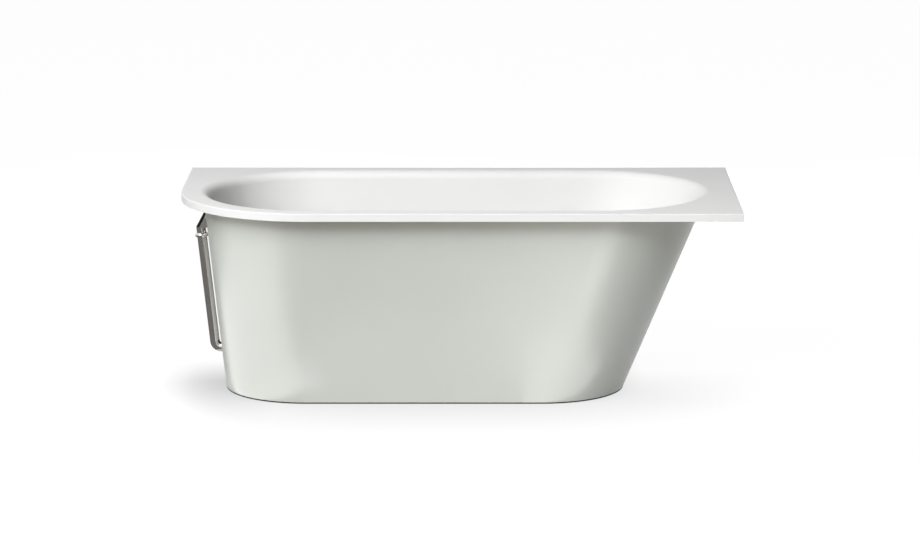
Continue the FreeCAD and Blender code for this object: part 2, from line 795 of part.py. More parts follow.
def make_rail(end):
    label = f"leg_rail_{end}"
    x = RAILS[end]
    body = new_body(label + "_tube")
    section = new_sketch(body, label + "_section", "XZ_Plane")
    trace(section, rectangle(f"({x} - rail_width / 2)", f"({x} + rail_width / 2)", RAIL_UNDER, BOARD_UNDER))
    trace(section, rectangle(f"({x} - rail_width / 2 + rail_wall)", f"({x} + rail_width / 2 - rail_wall)",
                             f"({RAIL_UNDER} + rail_wall)", RAIL_ROOF))
    add_middle(body, "Pad", label + "_pad", section, "tub_width - 2 * rail_margin")
    tools = [rod(label + "_stud_hole", "stud_radius + run_gap", "3 * rail_wall", "Z", x, y,
                 f"{RAIL_UNDER} - rail_wall") for y in SIDES.values()]
    for y in RAIL_SCREW_PLACES:
        tools.append(rod(label + "_screw_hole", "screw_radius + seat_gap", "3 * rail_wall", "Z", x, y,
                         f"{RAIL_ROOF} - rail_wall"))
        tools.append(rod(label + "_access", "screw_access", "3 * rail_wall", "Z", x, y,
                         f"{RAIL_UNDER} - rail_wall"))
    return cut(label, body, *tools)


def make_rail_screws():
    return group("rail_screws", [wood_screw("rail_screw", x, y, RAIL_ROOF)
                                 for x in RAILS.values() for y in RAIL_SCREW_PLACES])


def make_rivet_nuts():
    nuts = []
    for x in RAILS.values():
        for y in SIDES.values():
            nut = rod("rivet_nut_body", "rivet_radius", "rivet_depth", "Z", x, y, f"{RAIL_UNDER} + rail_wall")
            bore = rod("rivet_nut_bore", "stud_radius + run_gap", "2 * rivet_depth", "Z", x, y,
                       f"{RAIL_UNDER} - rail_wall")
            nuts.append(cut("rivet_nut", nut, bore))
    return group("rivet_nuts", nuts)


def make_lock_nuts():
    nuts = []
    for x in RAILS.values():
        for y in SIDES.values():
            hexagon = doc.addObject("Part::Prism", "lock_nut_hexagon")
            hexagon.Polygon = 6
            bind(hexagon, Circumradius="nut_radius", Height="nut_depth")
            place(hexagon, x, y, f"{RAIL_UNDER} - nut_depth")
            bore = rod("lock_nut_bore", "stud_radius + run_gap", "2 * nut_depth", "Z", x, y,
                       f"{RAIL_UNDER} - 1.5 * nut_depth")
            nuts.append(cut("lock_nut", hexagon, bore))
    return group("lock_nuts", nuts)


def make_foot(end, side):
    """A threaded stud in a round plastic pad."""
    x = RAILS[end]
    y = SIDES[side]
    pad = turned(f"foot_pad_{end}_{side}", [
        ("0", "0"),
        ("(pad_radius - pad_edge / 3)", "0"),
        ("pad_radius", "(pad_edge / 3)"),
        ("pad_radius", "pad_edge"),
        ("pad_neck", "(pad_height - pad_edge / 3)"),
        ("pad_neck", "pad_height"),
        ("(stud_radius + run_gap)", "pad_height"),
        ("(stud_radius + run_gap)", "pad_sole"),
        ("0", "pad_sole"),
    ])
    place(pad, x, y, "0")
    stud = rod(f"foot_stud_{end}_{side}", "stud_radius", f"{RAIL_ROOF} - stud_top_gap - pad_sole", "Z",
               x, y, "pad_sole")
    stud.Label = f"foot_stud_{end}_{side}"
    return [pad, stud]


# Overflow
def make_overflow_gasket():
    return on_foot_wall(turned("overflow_gasket", [
        (f"-{FLANGE_FRONT}", "gasket_inner"),
        (f"-{BOSS_FACE}", "gasket_inner"),
        (f"-{BOSS_FACE}", "housing_flange_radius"),
        (f"-{FLANGE_FRONT}", "housing_flange_radius"),
    ], "X_Axis"))


SLANT_TOP = f"({PIPE_AXIS} - housing_step)"
SLANT_FOOT = f"({PIPE_AXIS} + housing_half)"
SLANT_RUN = "(housing_step + housing_half)"
SLANT_RISE = "(housing_top + housing_shoulder)"
SLANT_LENGTH = f"sqrt({SLANT_RUN} ^ 2 + {SLANT_RISE} ^ 2)"
CROWN = "(housing_top - cover_crown)"
SPIGOT = "(pipe_outer / 2 - pipe_wall - run_gap)"
SPIGOT_END = "-(housing_drop + spigot_depth)"
HOLDER_FLOOR = "(3 * housing_wall - housing_drop)"


def slant_at(depth, height):
    """A point of the plane at a depth under the lid's slanted face, at a height."""
    return (f"-({SLANT_TOP} + (housing_top - ({height})) * {SLANT_RUN} / {SLANT_RISE}"
            f" - ({depth}) * {SLANT_LENGTH} / {SLANT_RISE})", height)


def elbow_form(label, profile, inset="0"):
    """A side profile of the elbow, made round in plan as its neck is."""
    half = f"(housing_half - {inset})"
    side = new_body(label + "_side")
    profile_sketch = new_sketch(side, label + "_profile", "XZ_Plane")
    trace(profile_sketch, profile)
    add_middle(side, "Pad", label + "_side_pad", profile_sketch, f"2 * {half}")
    plan = new_body(label + "_plan")
    outline = new_sketch(plan, label + "_outline", height="-housing_drop")
    trace(outline, [
        (f"-{PIPE_AXIS}", half, half),
        (f"-({PIPE_AXIS} + {half})", "0", half),
        (f"-{PIPE_AXIS}", f"-{half}"),
        (f"-{FLANGE_BACK}", f"-{half}"),
        (f"-{FLANGE_BACK}", half),
    ])
    add_feature(plan, "Pad", label + "_plan_pad", outline, Length="housing_drop + housing_top")
    return common(label, on_foot_wall(side), on_foot_wall(plan))


def make_overflow_housing():
    """Elbow that takes the overflow from the basin wall down into the pipe, slanted at the back."""
    branch = elbow_form("housing_branch", [
        (f"-{FLANGE_BACK}", "branch_rise"),
        slant_at("cover_wall", CROWN),
        slant_at("cover_wall", "-housing_shoulder"),
        (f"-{SLANT_FOOT}", "-housing_shoulder"),
        (f"-{SLANT_FOOT}", "-branch_drop"),
        (f"-{FLANGE_BACK}", "-branch_drop"),
    ])
    neck = pipe_rod("housing_neck", "housing_half", "-housing_drop", "-housing_shoulder - housing_wall")
    flange = foot_wall_rod("housing_flange_disc", "housing_flange_radius", FLANGE_BACK, "housing_flange")
    spigot = pipe_rod("housing_spigot", SPIGOT, SPIGOT_END, "-(housing_drop - housing_wall)")
    inner_wall = "cover_wall + housing_wall"
    branch_hollow = elbow_form("branch_hollow", [
        (f"-({FLANGE_BACK} + housing_wall)", "(branch_rise - housing_wall)"),
        slant_at(inner_wall, "(branch_rise - housing_wall)"),
        slant_at(inner_wall, "-(branch_drop - housing_wall)"),
        (f"-({FLANGE_BACK} + housing_wall)", "-(branch_drop - housing_wall)"),
    ], "housing_wall")
    neck_hollow = pipe_rod("neck_hollow", "housing_half - housing_wall", "-(housing_drop - housing_wall)",
                           "-(housing_shoulder + housing_wall / 2)")
    through = "housing_flange + 3 * housing_wall"
    mouth = foot_wall_rod("housing_mouth", "housing_bore", f"{FLANGE_BACK} + 2 * housing_wall", through)
    clamps = [foot_wall_rod("housing_clamp_hole", "clamp_radius + run_gap", f"{FLANGE_BACK} + housing_wall",
                            through, offset) for offset in ("clamp_offset", "-clamp_offset")]
    shell = cut("housing_shell", fuse("housing_solid", branch, neck, flange, spigot),
                branch_hollow, neck_hollow, mouth, *clamps)
    holder = new_body("cable_holder")
    holder_side = new_sketch(holder, "cable_holder_side", "XZ_Plane")
    trace(holder_side, rectangle(f"-({SLANT_FOOT} - housing_wall / 2)", f"-({PIPE_AXIS} - holder_width / 2)",
                                 HOLDER_FLOOR, f"({HOLDER_FLOOR} + holder_wall)"))
    add_middle(holder, "Pad", "cable_holder_pad", holder_side, "holder_width")
    bore = pipe_rod("spigot_bore", f"{SPIGOT} - housing_wall", f"{SPIGOT_END} - housing_wall",
                    "2 * housing_wall - housing_drop")
    guide = pipe_rod("cable_guide", "cable_radius + run_gap", f"{HOLDER_FLOOR} - housing_wall",
                     f"{HOLDER_FLOOR} + 2 * holder_wall")
    return cut("overflow_housing", fuse("housing_fitted", shell, on_foot_wall(holder)), bore, guide)


def make_housing_cover():
    """Black lid on the slanted back of the housing, hooked over its top by a tab."""
    tab_end = f"-({SLANT_TOP} - cover_tab)"
    tab_under = "(housing_top - cover_tab_wall)"
    return elbow_form("housing_cover", [
        (tab_end, "housing_top"),
        (f"-{SLANT_TOP}", "housing_top"),
        (f"-{SLANT_FOOT}", "-housing_shoulder"),
        slant_at("cover_wall", "-housing_shoulder"),
        slant_at("cover_wall", CROWN),
        (slant_at("cover_wall", CROWN)[0], tab_under),
        (tab_end, tab_under),
    ])


def make_overflow_collar():
    """Bulging ring nut that clasps the pipe's end under the neck."""
    top, foot = "-housing_drop", "-(housing_drop + collar_depth)"
    round_out = "((collar_depth / 2) ^ 2 + collar_bulge ^ 2) / (2 * collar_bulge)"
    body = turned("overflow_collar", [
        (f"({SPIGOT} + run_gap)", top),
        (f"({SPIGOT} + run_gap)", "-(housing_drop + collar_lip)"),
        ("(pipe_outer / 2 + run_gap)", "-(housing_drop + collar_lip)"),
        ("(pipe_outer / 2 + run_gap)", foot),
        ("(collar_radius - collar_bulge)", foot, round_out),
        ("(collar_radius - collar_bulge)", top),
    ])
    return place(body, f"{OVERFLOW_X} - {PIPE_AXIS} * cos(end_slope)", "0",
                 f"{OVERFLOW_Z} - {PIPE_AXIS} * sin(end_slope)", (0, 1, 0), "-end_slope")


def along_leg(distance):
    """A point of the pipe's leg, from the corner of its runs, in the pipe's own frame."""
    return f"({distance} * cos(end_slope))", f"(-{PIPE_RUN} - {distance} * sin(end_slope))"


def make_overflow_pipe():
    """Straight drop beside the skirt, one bend, and a level leg to the waste."""
    body = new_body("overflow_pipe")
    section = new_sketch(body, "pipe_section")
    draw_circle(section, "pipe_outer / 2")
    draw_circle(section, "pipe_outer / 2 - pipe_wall")
    tangent = "(pipe_bend * tan(45 - end_slope / 2))"
    spine = new_sketch(body, "pipe_spine", "XZ_Plane")
    trace(spine, [
        ("0", "0"),
        ("0", f"(-{PIPE_RUN} + {tangent})", "pipe_bend"),
        along_leg(tangent),
        along_leg(f"({INLET_END} + inlet_length - {LEG_START})"),
    ], closed=False)
    pipe = body.newObject("PartDesign::AdditivePipe", "pipe")
    pipe.Profile = section
    pipe.Spine = spine
    return place(body, PIPE_X, "0", PIPE_Z, (0, 1, 0), "-end_slope")


def make_control_cable():
    """Sheathed cable inside the pipe, from the holder under the drum up to the foot of the plug's stem."""
    body = new_body("control_cable")
    section = new_sketch(body, "cable_section", height=f"{PIPE_TOP} + {HOLDER_FLOOR} + holder_wall")
    draw_circle(section, "cable_radius")
    tangent = "(pipe_bend * tan(45 - end_slope / 2))"
    rise = f"({CABLE_END} - {LEG_HEIGHT})"
    last_x, last_z = along_leg(f"({WASTE_X} - {LEG_START})")
    spine = new_sketch(body, "cable_spine", "XZ_Plane")
    trace(spine, [
        ("0", f"({PIPE_TOP} + {HOLDER_FLOOR} + holder_wall)"),
        ("0", f"(-{PIPE_RUN} + {tangent})", "pipe_bend"),
        along_leg(tangent),
        (*along_leg(f"({WASTE_X} - cable_bend - {LEG_START})"), "cable_bend"),
        (f"({last_x} + cable_bend * sin(end_slope))", f"({last_z} + cable_bend * cos(end_slope))"),
        (f"({last_x} + {rise} * sin(end_slope))", f"({last_z} + {rise} * cos(end_slope))"),
    ], closed=False)
    cable = body.newObject("PartDesign::AdditivePipe", "cable")
    cable.Profile = section
    cable.Spine = spine
    return place(body, PIPE_X, "0", PIPE_Z, (0, 1, 0), "-end_slope")


def make_pipe_grommet():
    """Rubber ring where the pipe's leg passes through the skirt, its lip sloped as the skirt is."""
    lip = turned("grommet_lip", rectangle("-grommet_lip", "0", "0", "grommet_radius"), "X_Axis")
    place(lip, SKIRT_AT_LEG, "0", LEG_HEIGHT, (0, 1, 0), "-end_slope")
    neck = rod("grommet_neck", "grommet_neck", "2 * skirt_wall + grommet_lip / 2", "X",
               f"{SKIRT_AT_LEG} - grommet_lip / 2", "0", LEG_HEIGHT)
    bore = rod("grommet_bore", "pipe_outer / 2 + seat_gap", "8 * skirt_wall", "X",
               f"{SKIRT_AT_LEG} - 4 * skirt_wall", "0", LEG_HEIGHT)
    return cut("pipe_grommet", fuse("grommet_form", lip, neck), bore)


def make_bridge():
    """Ring in the seat of the foot wall, with a bar that carries the spindle's bush."""
    body = new_body("overflow_bridge")
    add_turn(body, "bridge_ring_turn", [
        ("-seat_sink", "(bridge_radius - bridge_ring)"),
        (BRIDGE_FRONT, "(bridge_radius - bridge_ring)"),
        (BRIDGE_FRONT, "(bridge_radius - 1)"),
        (f"({BRIDGE_FRONT} - 1)", "bridge_radius"),
        ("-seat_sink", "bridge_radius"),
    ], "X_Axis")
    bar = new_sketch(body, "bridge_bar_outline", "YZ_Plane", "-seat_sink")
    trace(bar, rectangle("-bridge_bar / 2", "bridge_bar / 2", "-(bridge_radius - bridge_ring / 2)",
                         "(bridge_radius - bridge_ring / 2)"))
    add_feature(body, "Pad", "bridge_bar_pad", bar, Length="bridge_wall")
    bush = new_sketch(body, "bush_outline", "YZ_Plane", "-bush_depth")
    draw_circle(bush, "bush_radius")
    add_feature(body, "Pad", "bush", bush, Length=f"bush_depth + {BRIDGE_FRONT}")
    bore = new_sketch(body, "bush_bore_outline", "YZ_Plane")
    draw_circle(bore, "spindle_radius + run_gap")
    for offset in ("clamp_offset", "-clamp_offset"):
        draw_circle(bore, "clamp_radius + seat_gap", "0", offset)
    add_middle(body, "Pocket", "bush_bore", bore, "4 * bush_depth")
    return on_foot_wall(body)


def make_clamp_screws():
    """Two screws that draw the bridge and the housing together through the wall."""
    screws = []
    for offset in ("clamp_offset", "-clamp_offset"):
        body = turned("clamp_screw", [
            (f"-{FLANGE_BACK}", "0"),
            (f"({BRIDGE_FRONT} + clamp_head_depth)", "0"),
            (f"({BRIDGE_FRONT} + clamp_head_depth)", "(clamp_head - 1)"),
            (f"({BRIDGE_FRONT} + clamp_head_depth - 1)", "clamp_head"),
            (BRIDGE_FRONT, "clamp_head"),
            (BRIDGE_FRONT, "clamp_radius"),
            (f"-{FLANGE_BACK}", "clamp_radius"),
        ], "X_Axis")
        screws.append(place(body, f"{OVERFLOW_X} - {offset} * sin(end_slope)", "0",
                            f"{OVERFLOW_Z} + {offset} * cos(end_slope)", (0, 1, 0), "-end_slope"))
    return group("clamp_screws", screws)


KNOB_FRONT = "(knob_gap + knob_depth)"


def make_spindle():
    """Shaft through the bush, with the drum that winds the cable."""
    return on_foot_wall(turned("control_spindle", [
        ("-(drum_front + drum_width)", "0"),
        (f"({KNOB_FRONT} - knob_wall)", "0"),
        (f"({KNOB_FRONT} - knob_wall)", "spindle_radius"),
        ("-drum_front", "spindle_radius"),
        ("-drum_front", "drum_radius"),
        ("-(drum_front + drum_width / 3)", "drum_radius"),
        ("-(drum_front + drum_width / 2)", "(drum_radius - cable_radius)"),
        ("-(drum_front + 2 * drum_width / 3)", "drum_radius"),
        ("-(drum_front + drum_width)", "drum_radius"),
    ], "X_Axis"))


def make_knob():
    """Round control knob, hollow behind, with finger grips round its edge."""
    body = new_body("overflow_knob")
    inner = f"({KNOB_FRONT} - knob_wall)"
    add_turn(body, "knob_dish", [
        ("knob_gap", "(spindle_radius + run_gap)"),
        (inner, "(spindle_radius + run_gap)"),
        (inner, "0"),
        (KNOB_FRONT, "0"),
        (KNOB_FRONT, "(knob_radius - knob_wall)"),
        (f"({KNOB_FRONT} - knob_wall)", "knob_radius"),
        ("(knob_gap + knob_wall / 2)", "knob_radius"),
        ("(knob_gap + knob_wall / 2)", "(knob_radius - knob_wall)"),
        (inner, "(knob_radius - 2 * knob_wall)"),
        (inner, "bush_radius"),
        ("knob_gap", "bush_radius"),
    ], "X_Axis")
    grip = new_sketch(body, "grip_outline", "YZ_Plane")
    draw_circle(grip, "grip_radius", "0", "(knob_radius + grip_radius - grip_bite)")
    grip_cut = add_feature(body, "Pocket", "grip", grip, Length=f"2 * {KNOB_FRONT}")
    grip_cut.Reversed = True
    add_polar(body, "grips", grip_cut, "X_Axis", "knob_grips")
    return on_foot_wall(body)


# Waste
def at_waste(item):
    return place(item, WASTE_X)


def make_waste_gaskets():
    upper = ring("waste_gasket_upper", "waste_hole", "waste_flange_radius",
                 RECESS_FLOOR, f"({RECESS_FLOOR} + waste_gasket)")
    lower = ring("waste_gasket_lower", "waste_hole", "lower_gasket_radius", CHAMBER_TOP, BOSS_UNDER)
    return [at_waste(upper), at_waste(lower)]


def make_waste_flange():
    """Polished flange with a coned seat, a threaded sleeve, and bars that guide the plug's stem."""
    body = new_body("waste_flange")
    under = f"({WASTE_TOP} - waste_flange_wall)"
    end = f"({under} - sleeve_length)"
    inner = "(sleeve_radius - sleeve_wall)"
    add_turn(body, "flange_turn", [
        (inner, end),
        ("sleeve_radius", end),
        ("sleeve_radius", under),
        ("waste_flange_radius", under),
        ("waste_flange_radius", f"({under} + waste_flange_wall / 2)"),
        ("(waste_flange_radius - waste_flange_wall)", WASTE_TOP),
        ("sleeve_radius", WASTE_TOP),
        (inner, f"({WASTE_TOP} - valve_seat)"),
    ], "Z_Axis")
    level = f"({WASTE_TOP} - bar_drop - bar_depth)"
    bar = new_sketch(body, "bar_outline", height=level)
    trace(bar, rectangle("0", "(sleeve_radius - sleeve_wall / 2)", "-bar_width / 2", "bar_width / 2"))
    bar_pad = add_feature(body, "Pad", "guide_bar", bar, Length="bar_depth")
    add_polar(body, "guide_bars", bar_pad, "Z_Axis", "guide_bars")
    hub = new_sketch(body, "hub_outline", height=level)
    draw_circle(hub, "hub_radius")
    add_feature(body, "Pad", "guide_hub", hub, Length="bar_depth")
    bore = new_sketch(body, "hub_bore_outline", height=f"({level} + bar_depth / 2)")
    draw_circle(bore, "stem_radius + run_gap")
    add_middle(body, "Pocket", "hub_bore", bore, "2 * bar_depth")
    return at_waste(body)


def make_plug():
    """Domed plug with a seal round its boss, on a stem that the cable lifts."""
    low = f"({PLUG_UNDER} - plug_boss_depth)"
    seal_low = f"({low} + plug_seal_inset)"
    seal_high = f"({seal_low} + plug_seal_width)"
    groove = "(plug_boss - plug_seal_inset)"
    cap = turned("plug_cap", [
        ("0", low),
        ("plug_boss", low),
        ("plug_boss", seal_low),
        (groove, seal_low),
        (groove, PLUG_UNDER),
        ("plug_radius", PLUG_UNDER),
        ("plug_radius", f"({PLUG_UNDER} + plug_edge)",
         "((plug_radius ^ 2 + plug_dome ^ 2) / (2 * plug_dome))"),
        ("0", f"({PLUG_UNDER} + plug_edge + plug_dome)"),
    ])
    seal = ring("plug_seal", f"({groove} + run_gap)", "plug_seal_radius", seal_low, seal_high)
    stem = rod("plug_stem", "stem_radius", f"{low} - {CABLE_END} - seat_gap", "Z", WASTE_X, "0",
               f"{CABLE_END} + seat_gap")
    stem.Label = "plug_stem"
    return [at_waste(cap), at_waste(seal), stem]


def make_waste_body():
    """Chamber under the floor: the overflow joins it, and a dip tube goes down into the trap."""
    inner = "(chamber_radius - chamber_wall)"
    under = f"({CHAMBER_FLOOR} - chamber_wall)"
    pot = turned("waste_pot", [
        ("(sleeve_radius + run_gap)", CHAMBER_TOP),
        ("(sleeve_radius + run_gap)", f"({CHAMBER_TOP} - chamber_collar)"),
        (inner, f"({CHAMBER_TOP} - chamber_collar)"),
        (inner, CHAMBER_FLOOR),
        ("(dip_radius - chamber_wall)", CHAMBER_FLOOR),
        ("(dip_radius - chamber_wall)", DIP_END),
        ("dip_radius", DIP_END),
        ("dip_radius", under),
        (inner, under),
        (inner, CHAMBER_END),
        ("chamber_radius", CHAMBER_END),
        ("chamber_radius", CHAMBER_TOP),
    ])
    at_waste(pot)
    inlet = rod("waste_inlet", "inlet_radius", "inlet_length + 2 * chamber_wall", "X",
                INLET_END, "0", LEG_HEIGHT)
    arm = block("cable_arm", inner, "holder_width / 2", "holder_wall", WASTE_X, "-holder_width / 4",
                f"{CABLE_END} - holder_wall")
    eye = rod("cable_eye", "holder_width / 2", "holder_wall", "Z", WASTE_X, "0", f"{CABLE_END} - holder_wall")
    whole = fuse("waste_form", pot, inlet, arm, eye)
    pipe_seat = rod("inlet_seat", "pipe_outer / 2 + run_gap", "inlet_length + seat_gap", "X",
                    INLET_END, "0", LEG_HEIGHT)
    way = rod("inlet_way", "pipe_outer / 2 - pipe_wall", "inlet_length + 4 * chamber_wall", "X",
              INLET_END, "0", LEG_HEIGHT)
    eye_bore = rod("cable_eye_bore", "cable_radius + run_gap", "3 * holder_wall", "Z", WASTE_X, "0",
                   f"{CABLE_END} - 2 * holder_wall")
    return cut("waste_body", whole, pipe_seat, way, eye_bore)


def make_pipe_union():
    """Nut that holds the pipe's leg in the waste's inlet."""
    body = turned("pipe_union", [
        ("-union_length / 2", "(pipe_outer / 2 + run_gap)"),
        ("0", "(pipe_outer / 2 + run_gap)"),
        ("0", "(inlet_radius + run_gap)"),
        ("union_length / 2", "(inlet_radius + run_gap)"),
        ("union_length / 2", "union_radius"),
        ("(2 - union_length / 2)", "union_radius"),
        ("-union_length / 2", "(union_radius - 2)"),
    ], "X_Axis")
    return place(body, INLET_END, "0", LEG_HEIGHT)


OUTLET_HEIGHT = f"({CHAMBER_END} - outlet_radius + outlet_wall)"
CUP_INNER = "(chamber_radius + seat_gap)"
CUP_OUTER = f"({CUP_INNER} + cup_wall)"
OUTLET_MOUTH = f"({CUP_OUTER} + outlet_socket)"


def make_trap_cup():
    """Water seal under the chamber, with the outlet's socket towards the wall."""
    top = f"({CHAMBER_END} + cup_lap)"
    cup = turned("trap_form", [
        (CUP_INNER, top),
        (CUP_INNER, "(cup_base + cup_wall)"),
        ("0", "(cup_base + cup_wall)"),
        ("0", "cup_base"),
        (f"({CUP_OUTER} - cup_wall)", "cup_base"),
        (CUP_OUTER, "(cup_base + cup_wall)"),
        (CUP_OUTER, top),
    ])
    at_waste(cup)
    start = f"({CUP_INNER} - cup_wall)"
    socket = rod("outlet_socket_form", "outlet_radius + cup_wall", f"{OUTLET_MOUTH} - {start}", "Y",
                 WASTE_X, start, OUTLET_HEIGHT)
    whole = fuse("trap_whole", cup, socket)
    hollow = rod("trap_hollow", CUP_INNER, f"{top} - cup_base", "Z", WASTE_X, "0", "cup_base + cup_wall")
    seat = rod("outlet_seat_bore", "outlet_spigot + run_gap", "outlet_seat + 1", "Y",
               WASTE_X, f"{OUTLET_MOUTH} - outlet_seat", OUTLET_HEIGHT)
    way = rod("outlet_way", "outlet_radius - outlet_wall", f"2 * outlet_socket + {CUP_OUTER}", "Y",
              WASTE_X, f"{CUP_INNER} - 3 * cup_wall", OUTLET_HEIGHT)
    return cut("trap_cup", whole, hollow, seat, way)


def make_outlet():
    """Pipe to the wall, and the nut that holds its spigot in the trap's socket."""
    end = "(tub_width / 2 - outlet_end_gap)"
    shoulder = f"({OUTLET_MOUTH} + union_length / 2 + seat_gap)"
    pipe = turned("outlet_pipe", [
        ("(outlet_radius - outlet_wall)", f"({OUTLET_MOUTH} - outlet_seat)"),
        ("outlet_spigot", f"({OUTLET_MOUTH} - outlet_seat)"),
        ("outlet_spigot", shoulder),
        ("outlet_radius", shoulder),
        ("outlet_radius", end),
        ("(outlet_radius - outlet_wall)", end),
    ])
    place(pipe, WASTE_X, "0", OUTLET_HEIGHT, (1, 0, 0), "-90")
    nut = turned("outlet_nut", [
        ("(outlet_spigot + run_gap)", f"({OUTLET_MOUTH} + union_length / 2)"),
        ("(outlet_spigot + run_gap)", OUTLET_MOUTH),
        ("(outlet_radius + cup_wall + run_gap)", OUTLET_MOUTH),
        ("(outlet_radius + cup_wall + run_gap)", f"({OUTLET_MOUTH} - union_length / 2)"),
        ("(outlet_radius + 2 * cup_wall)", f"({OUTLET_MOUTH} - union_length / 2)"),
        ("(outlet_radius + 2 * cup_wall)", f"({OUTLET_MOUTH} + union_length / 2 - 2)"),
        ("(outlet_radius + 2 * cup_wall - 2)", f"({OUTLET_MOUTH} + union_length / 2)"),
    ])
    place(nut, WASTE_X, "0", OUTLET_HEIGHT, (1, 0, 0), "-90")
    return [pipe, nut]


parts = [make_tub_shell(), make_skirt(), make_floor_seal(), *make_battens(), make_base_board()]
parts += [make_rail(end) for end in RAILS]
parts += [make_rail_screws(), make_rivet_nuts(), make_lock_nuts()]
parts += [piece for end in RAILS for side in SIDES for piece in make_foot(end, side)]
parts += [make_bracket(bracket) for bracket in BRACKETS]
parts += [make_bracket_screws(), make_overflow_gasket(), make_overflow_housing(), make_housing_cover()]
parts += [make_overflow_collar(), make_overflow_pipe(), make_control_cable(), make_pipe_grommet()]
parts += [make_bridge(), make_clamp_screws(), make_spindle(), make_knob(), *make_waste_gaskets()]
parts += [make_waste_flange(), *make_plug(), make_waste_body(), make_pipe_union(), make_trap_cup()]
parts += make_outlet()
doc.recompute()

failed = [item.Name for item in doc.Objects if "Invalid" in item.State or "Error" in item.State]
failed += [item.Label for item in parts if item.Shape.isNull() or not item.Shape.isValid()]
if failed:
    raise SystemExit(f"these did not build: {failed}")
os.makedirs("parts", exist_ok=True)
for item in parts:
    item.Shape.exportStep(f"parts/{item.Label}.step")
    print(item.Label, len(item.Shape.Solids), round(item.Shape.Volume))
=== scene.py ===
import json
import math

import bmesh
import bpy
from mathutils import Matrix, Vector


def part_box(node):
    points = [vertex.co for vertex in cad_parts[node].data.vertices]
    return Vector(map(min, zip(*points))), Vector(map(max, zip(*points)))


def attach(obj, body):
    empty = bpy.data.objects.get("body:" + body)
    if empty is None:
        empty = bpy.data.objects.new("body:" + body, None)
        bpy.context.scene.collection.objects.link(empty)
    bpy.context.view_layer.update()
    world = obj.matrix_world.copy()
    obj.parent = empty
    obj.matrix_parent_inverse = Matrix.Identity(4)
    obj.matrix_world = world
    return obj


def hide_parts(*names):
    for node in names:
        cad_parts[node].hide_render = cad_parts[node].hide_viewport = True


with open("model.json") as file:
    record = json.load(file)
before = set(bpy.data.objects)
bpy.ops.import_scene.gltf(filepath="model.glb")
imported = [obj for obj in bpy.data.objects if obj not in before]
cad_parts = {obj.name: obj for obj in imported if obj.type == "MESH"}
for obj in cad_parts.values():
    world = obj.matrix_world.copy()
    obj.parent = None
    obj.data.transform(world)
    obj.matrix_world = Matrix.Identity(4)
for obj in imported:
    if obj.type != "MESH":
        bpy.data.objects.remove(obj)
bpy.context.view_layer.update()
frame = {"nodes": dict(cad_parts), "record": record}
NODES = frame["nodes"]
SLOTS = {part["node"]: part["material_slot"] for part in frame["record"]["subparts"]}

# How much of a texture's range is opened to black and white
SOFT = (0.3, 0.7)
FIRM = (0.35, 0.65)
SHARP = (0.4, 0.6)
STAINED = (0.35, 0.7)
SPARSE = (0.5, 0.75)

# Fasteners, in metres
NUT_PLAY = 0.0002
NUT_CHAMFER = 0.0006
NUT_FACE_SHARE = 0.97
NUT_SLOPE = math.radians(30)
SCREW_SHANK = 0.0022
SCREW_RECESS = 0.0013
SCREW_RECESS_DEPTH = 0.0014
SCREW_LOBES = 6
SCREW_LOBE = 0.0003
SCREW_HEAD = ((0.72, 0), (0.92, 0.0004), (1, 0.0011), (1, 0.0025))  # share of the radius, height
SCREW_TIP = 0.005
SCREW_TIP_SHARE = 0.1

# Camera, fitted to the photograph
SENSOR_WIDTH = 36
LENS = 135.74
CAMERA_SHIFT = -0.0174
CAMERA_PLACE = (0.055, -10.501, 2.508)
CAMERA_TILT = math.radians(78.42)

# Lamps: place, point aimed at, size, watts
LAMPS = {
    "key": ((-3, -3, 4), (0, 0, 0.3), (3, 3), 238),
    "front_left": ((-3.5, -5, 3), (0, 0, 0.3), (3, 3), 96),
    "front_high": ((0, -3.5, 4.5), (0, 0, 0.3), (3, 3), 26),
    "right": ((1.2, -2.5, 2.5), (0.4, 0, 0.3), (1.2, 1.2), 24),
    "right_high": ((1.6, -1.2, 3.5), (0.4, 0, 0.5), (1.2, 1.2), 9),
    "right_strip": ((0.6, -0.9, 0.12), (0.36, 0, 0.15), (0.25, 0.2), 0.76),
    "back_low": ((1.2, 3.8, 0.32), (0.2, 0, 0.25), (4, 0.44), 75),
    "head_low": ((3.0, 3.4, 0.32), (0.5, 0, 0.25), (2, 0.44), 20),
}
UNMIRRORED = ("back_low", "head_low")
WORLD = 0.01

# Lamps that lie on the floor: place, size, turn in degrees, watts
SHEENS = {
    "left_sheen": ((-1.434, -0.346), (1.6, 1.3), -45, 22),
    "right_sheen": ((0.4, -0.95), (0.4, 1.3), 0, 4),
    "front_sheen": ((0.04, -0.63), (1.02, 0.66), 0, 3.1),
}
SHEEN_LEVEL = 0.002

# Floor: a white glow with a painted shade round the bath, drawn from occlusion; pairs run from the foot
# end to the rest of the bath
FLOOR_HALF = 20
FLOOR_LEVEL = -0.001
FLOOR_LIFT = 0.98
FOOT_ZONE = (-0.85, -0.55)
FLOOR_PAINTED_SHADE = (1.0, 0.38)
FLOOR_PAINTED_SHADE_REACH = (0.22, 0.45)
FLOOR_PAINTED_SHADE_SAMPLES = 16
FLOOR_PAINTED_SHADE_FADES = ((-0.64, -0.72, 0.0, 0.28), (0.42, 0.58, -0.25, 0.15))  # from and to, along and across
FLOOR_PAINTED_SHADE_FADE_SHARE = 0.92
FLOOR_BOUNCE = 0.45
FLOOR_VEIL = 0.05

# Dark glowing card on the floor for a painted dark reflection, part of a disc: its arc is the start and
# the sweep in degrees
FLAG_CENTRE = (-0.80, 0.0)
FLAG_RADIUS = 3.0
FLAG_ARC = (-67, -203)
FLAG_STEPS = 24
FLAG_LEVEL = -0.0005
PAINTED_REFLECTION_TONE = (0.21, 0.2, 0.192)

# Dark card in the basin that paints a shade on the foot wall, densest in its middle
CARD_PLACE = -0.645
CARD_MIDDLE = 0.04
CARD_HALF = 0.24
CARD_LOW = 0.24
CARD_HIGH = 0.70


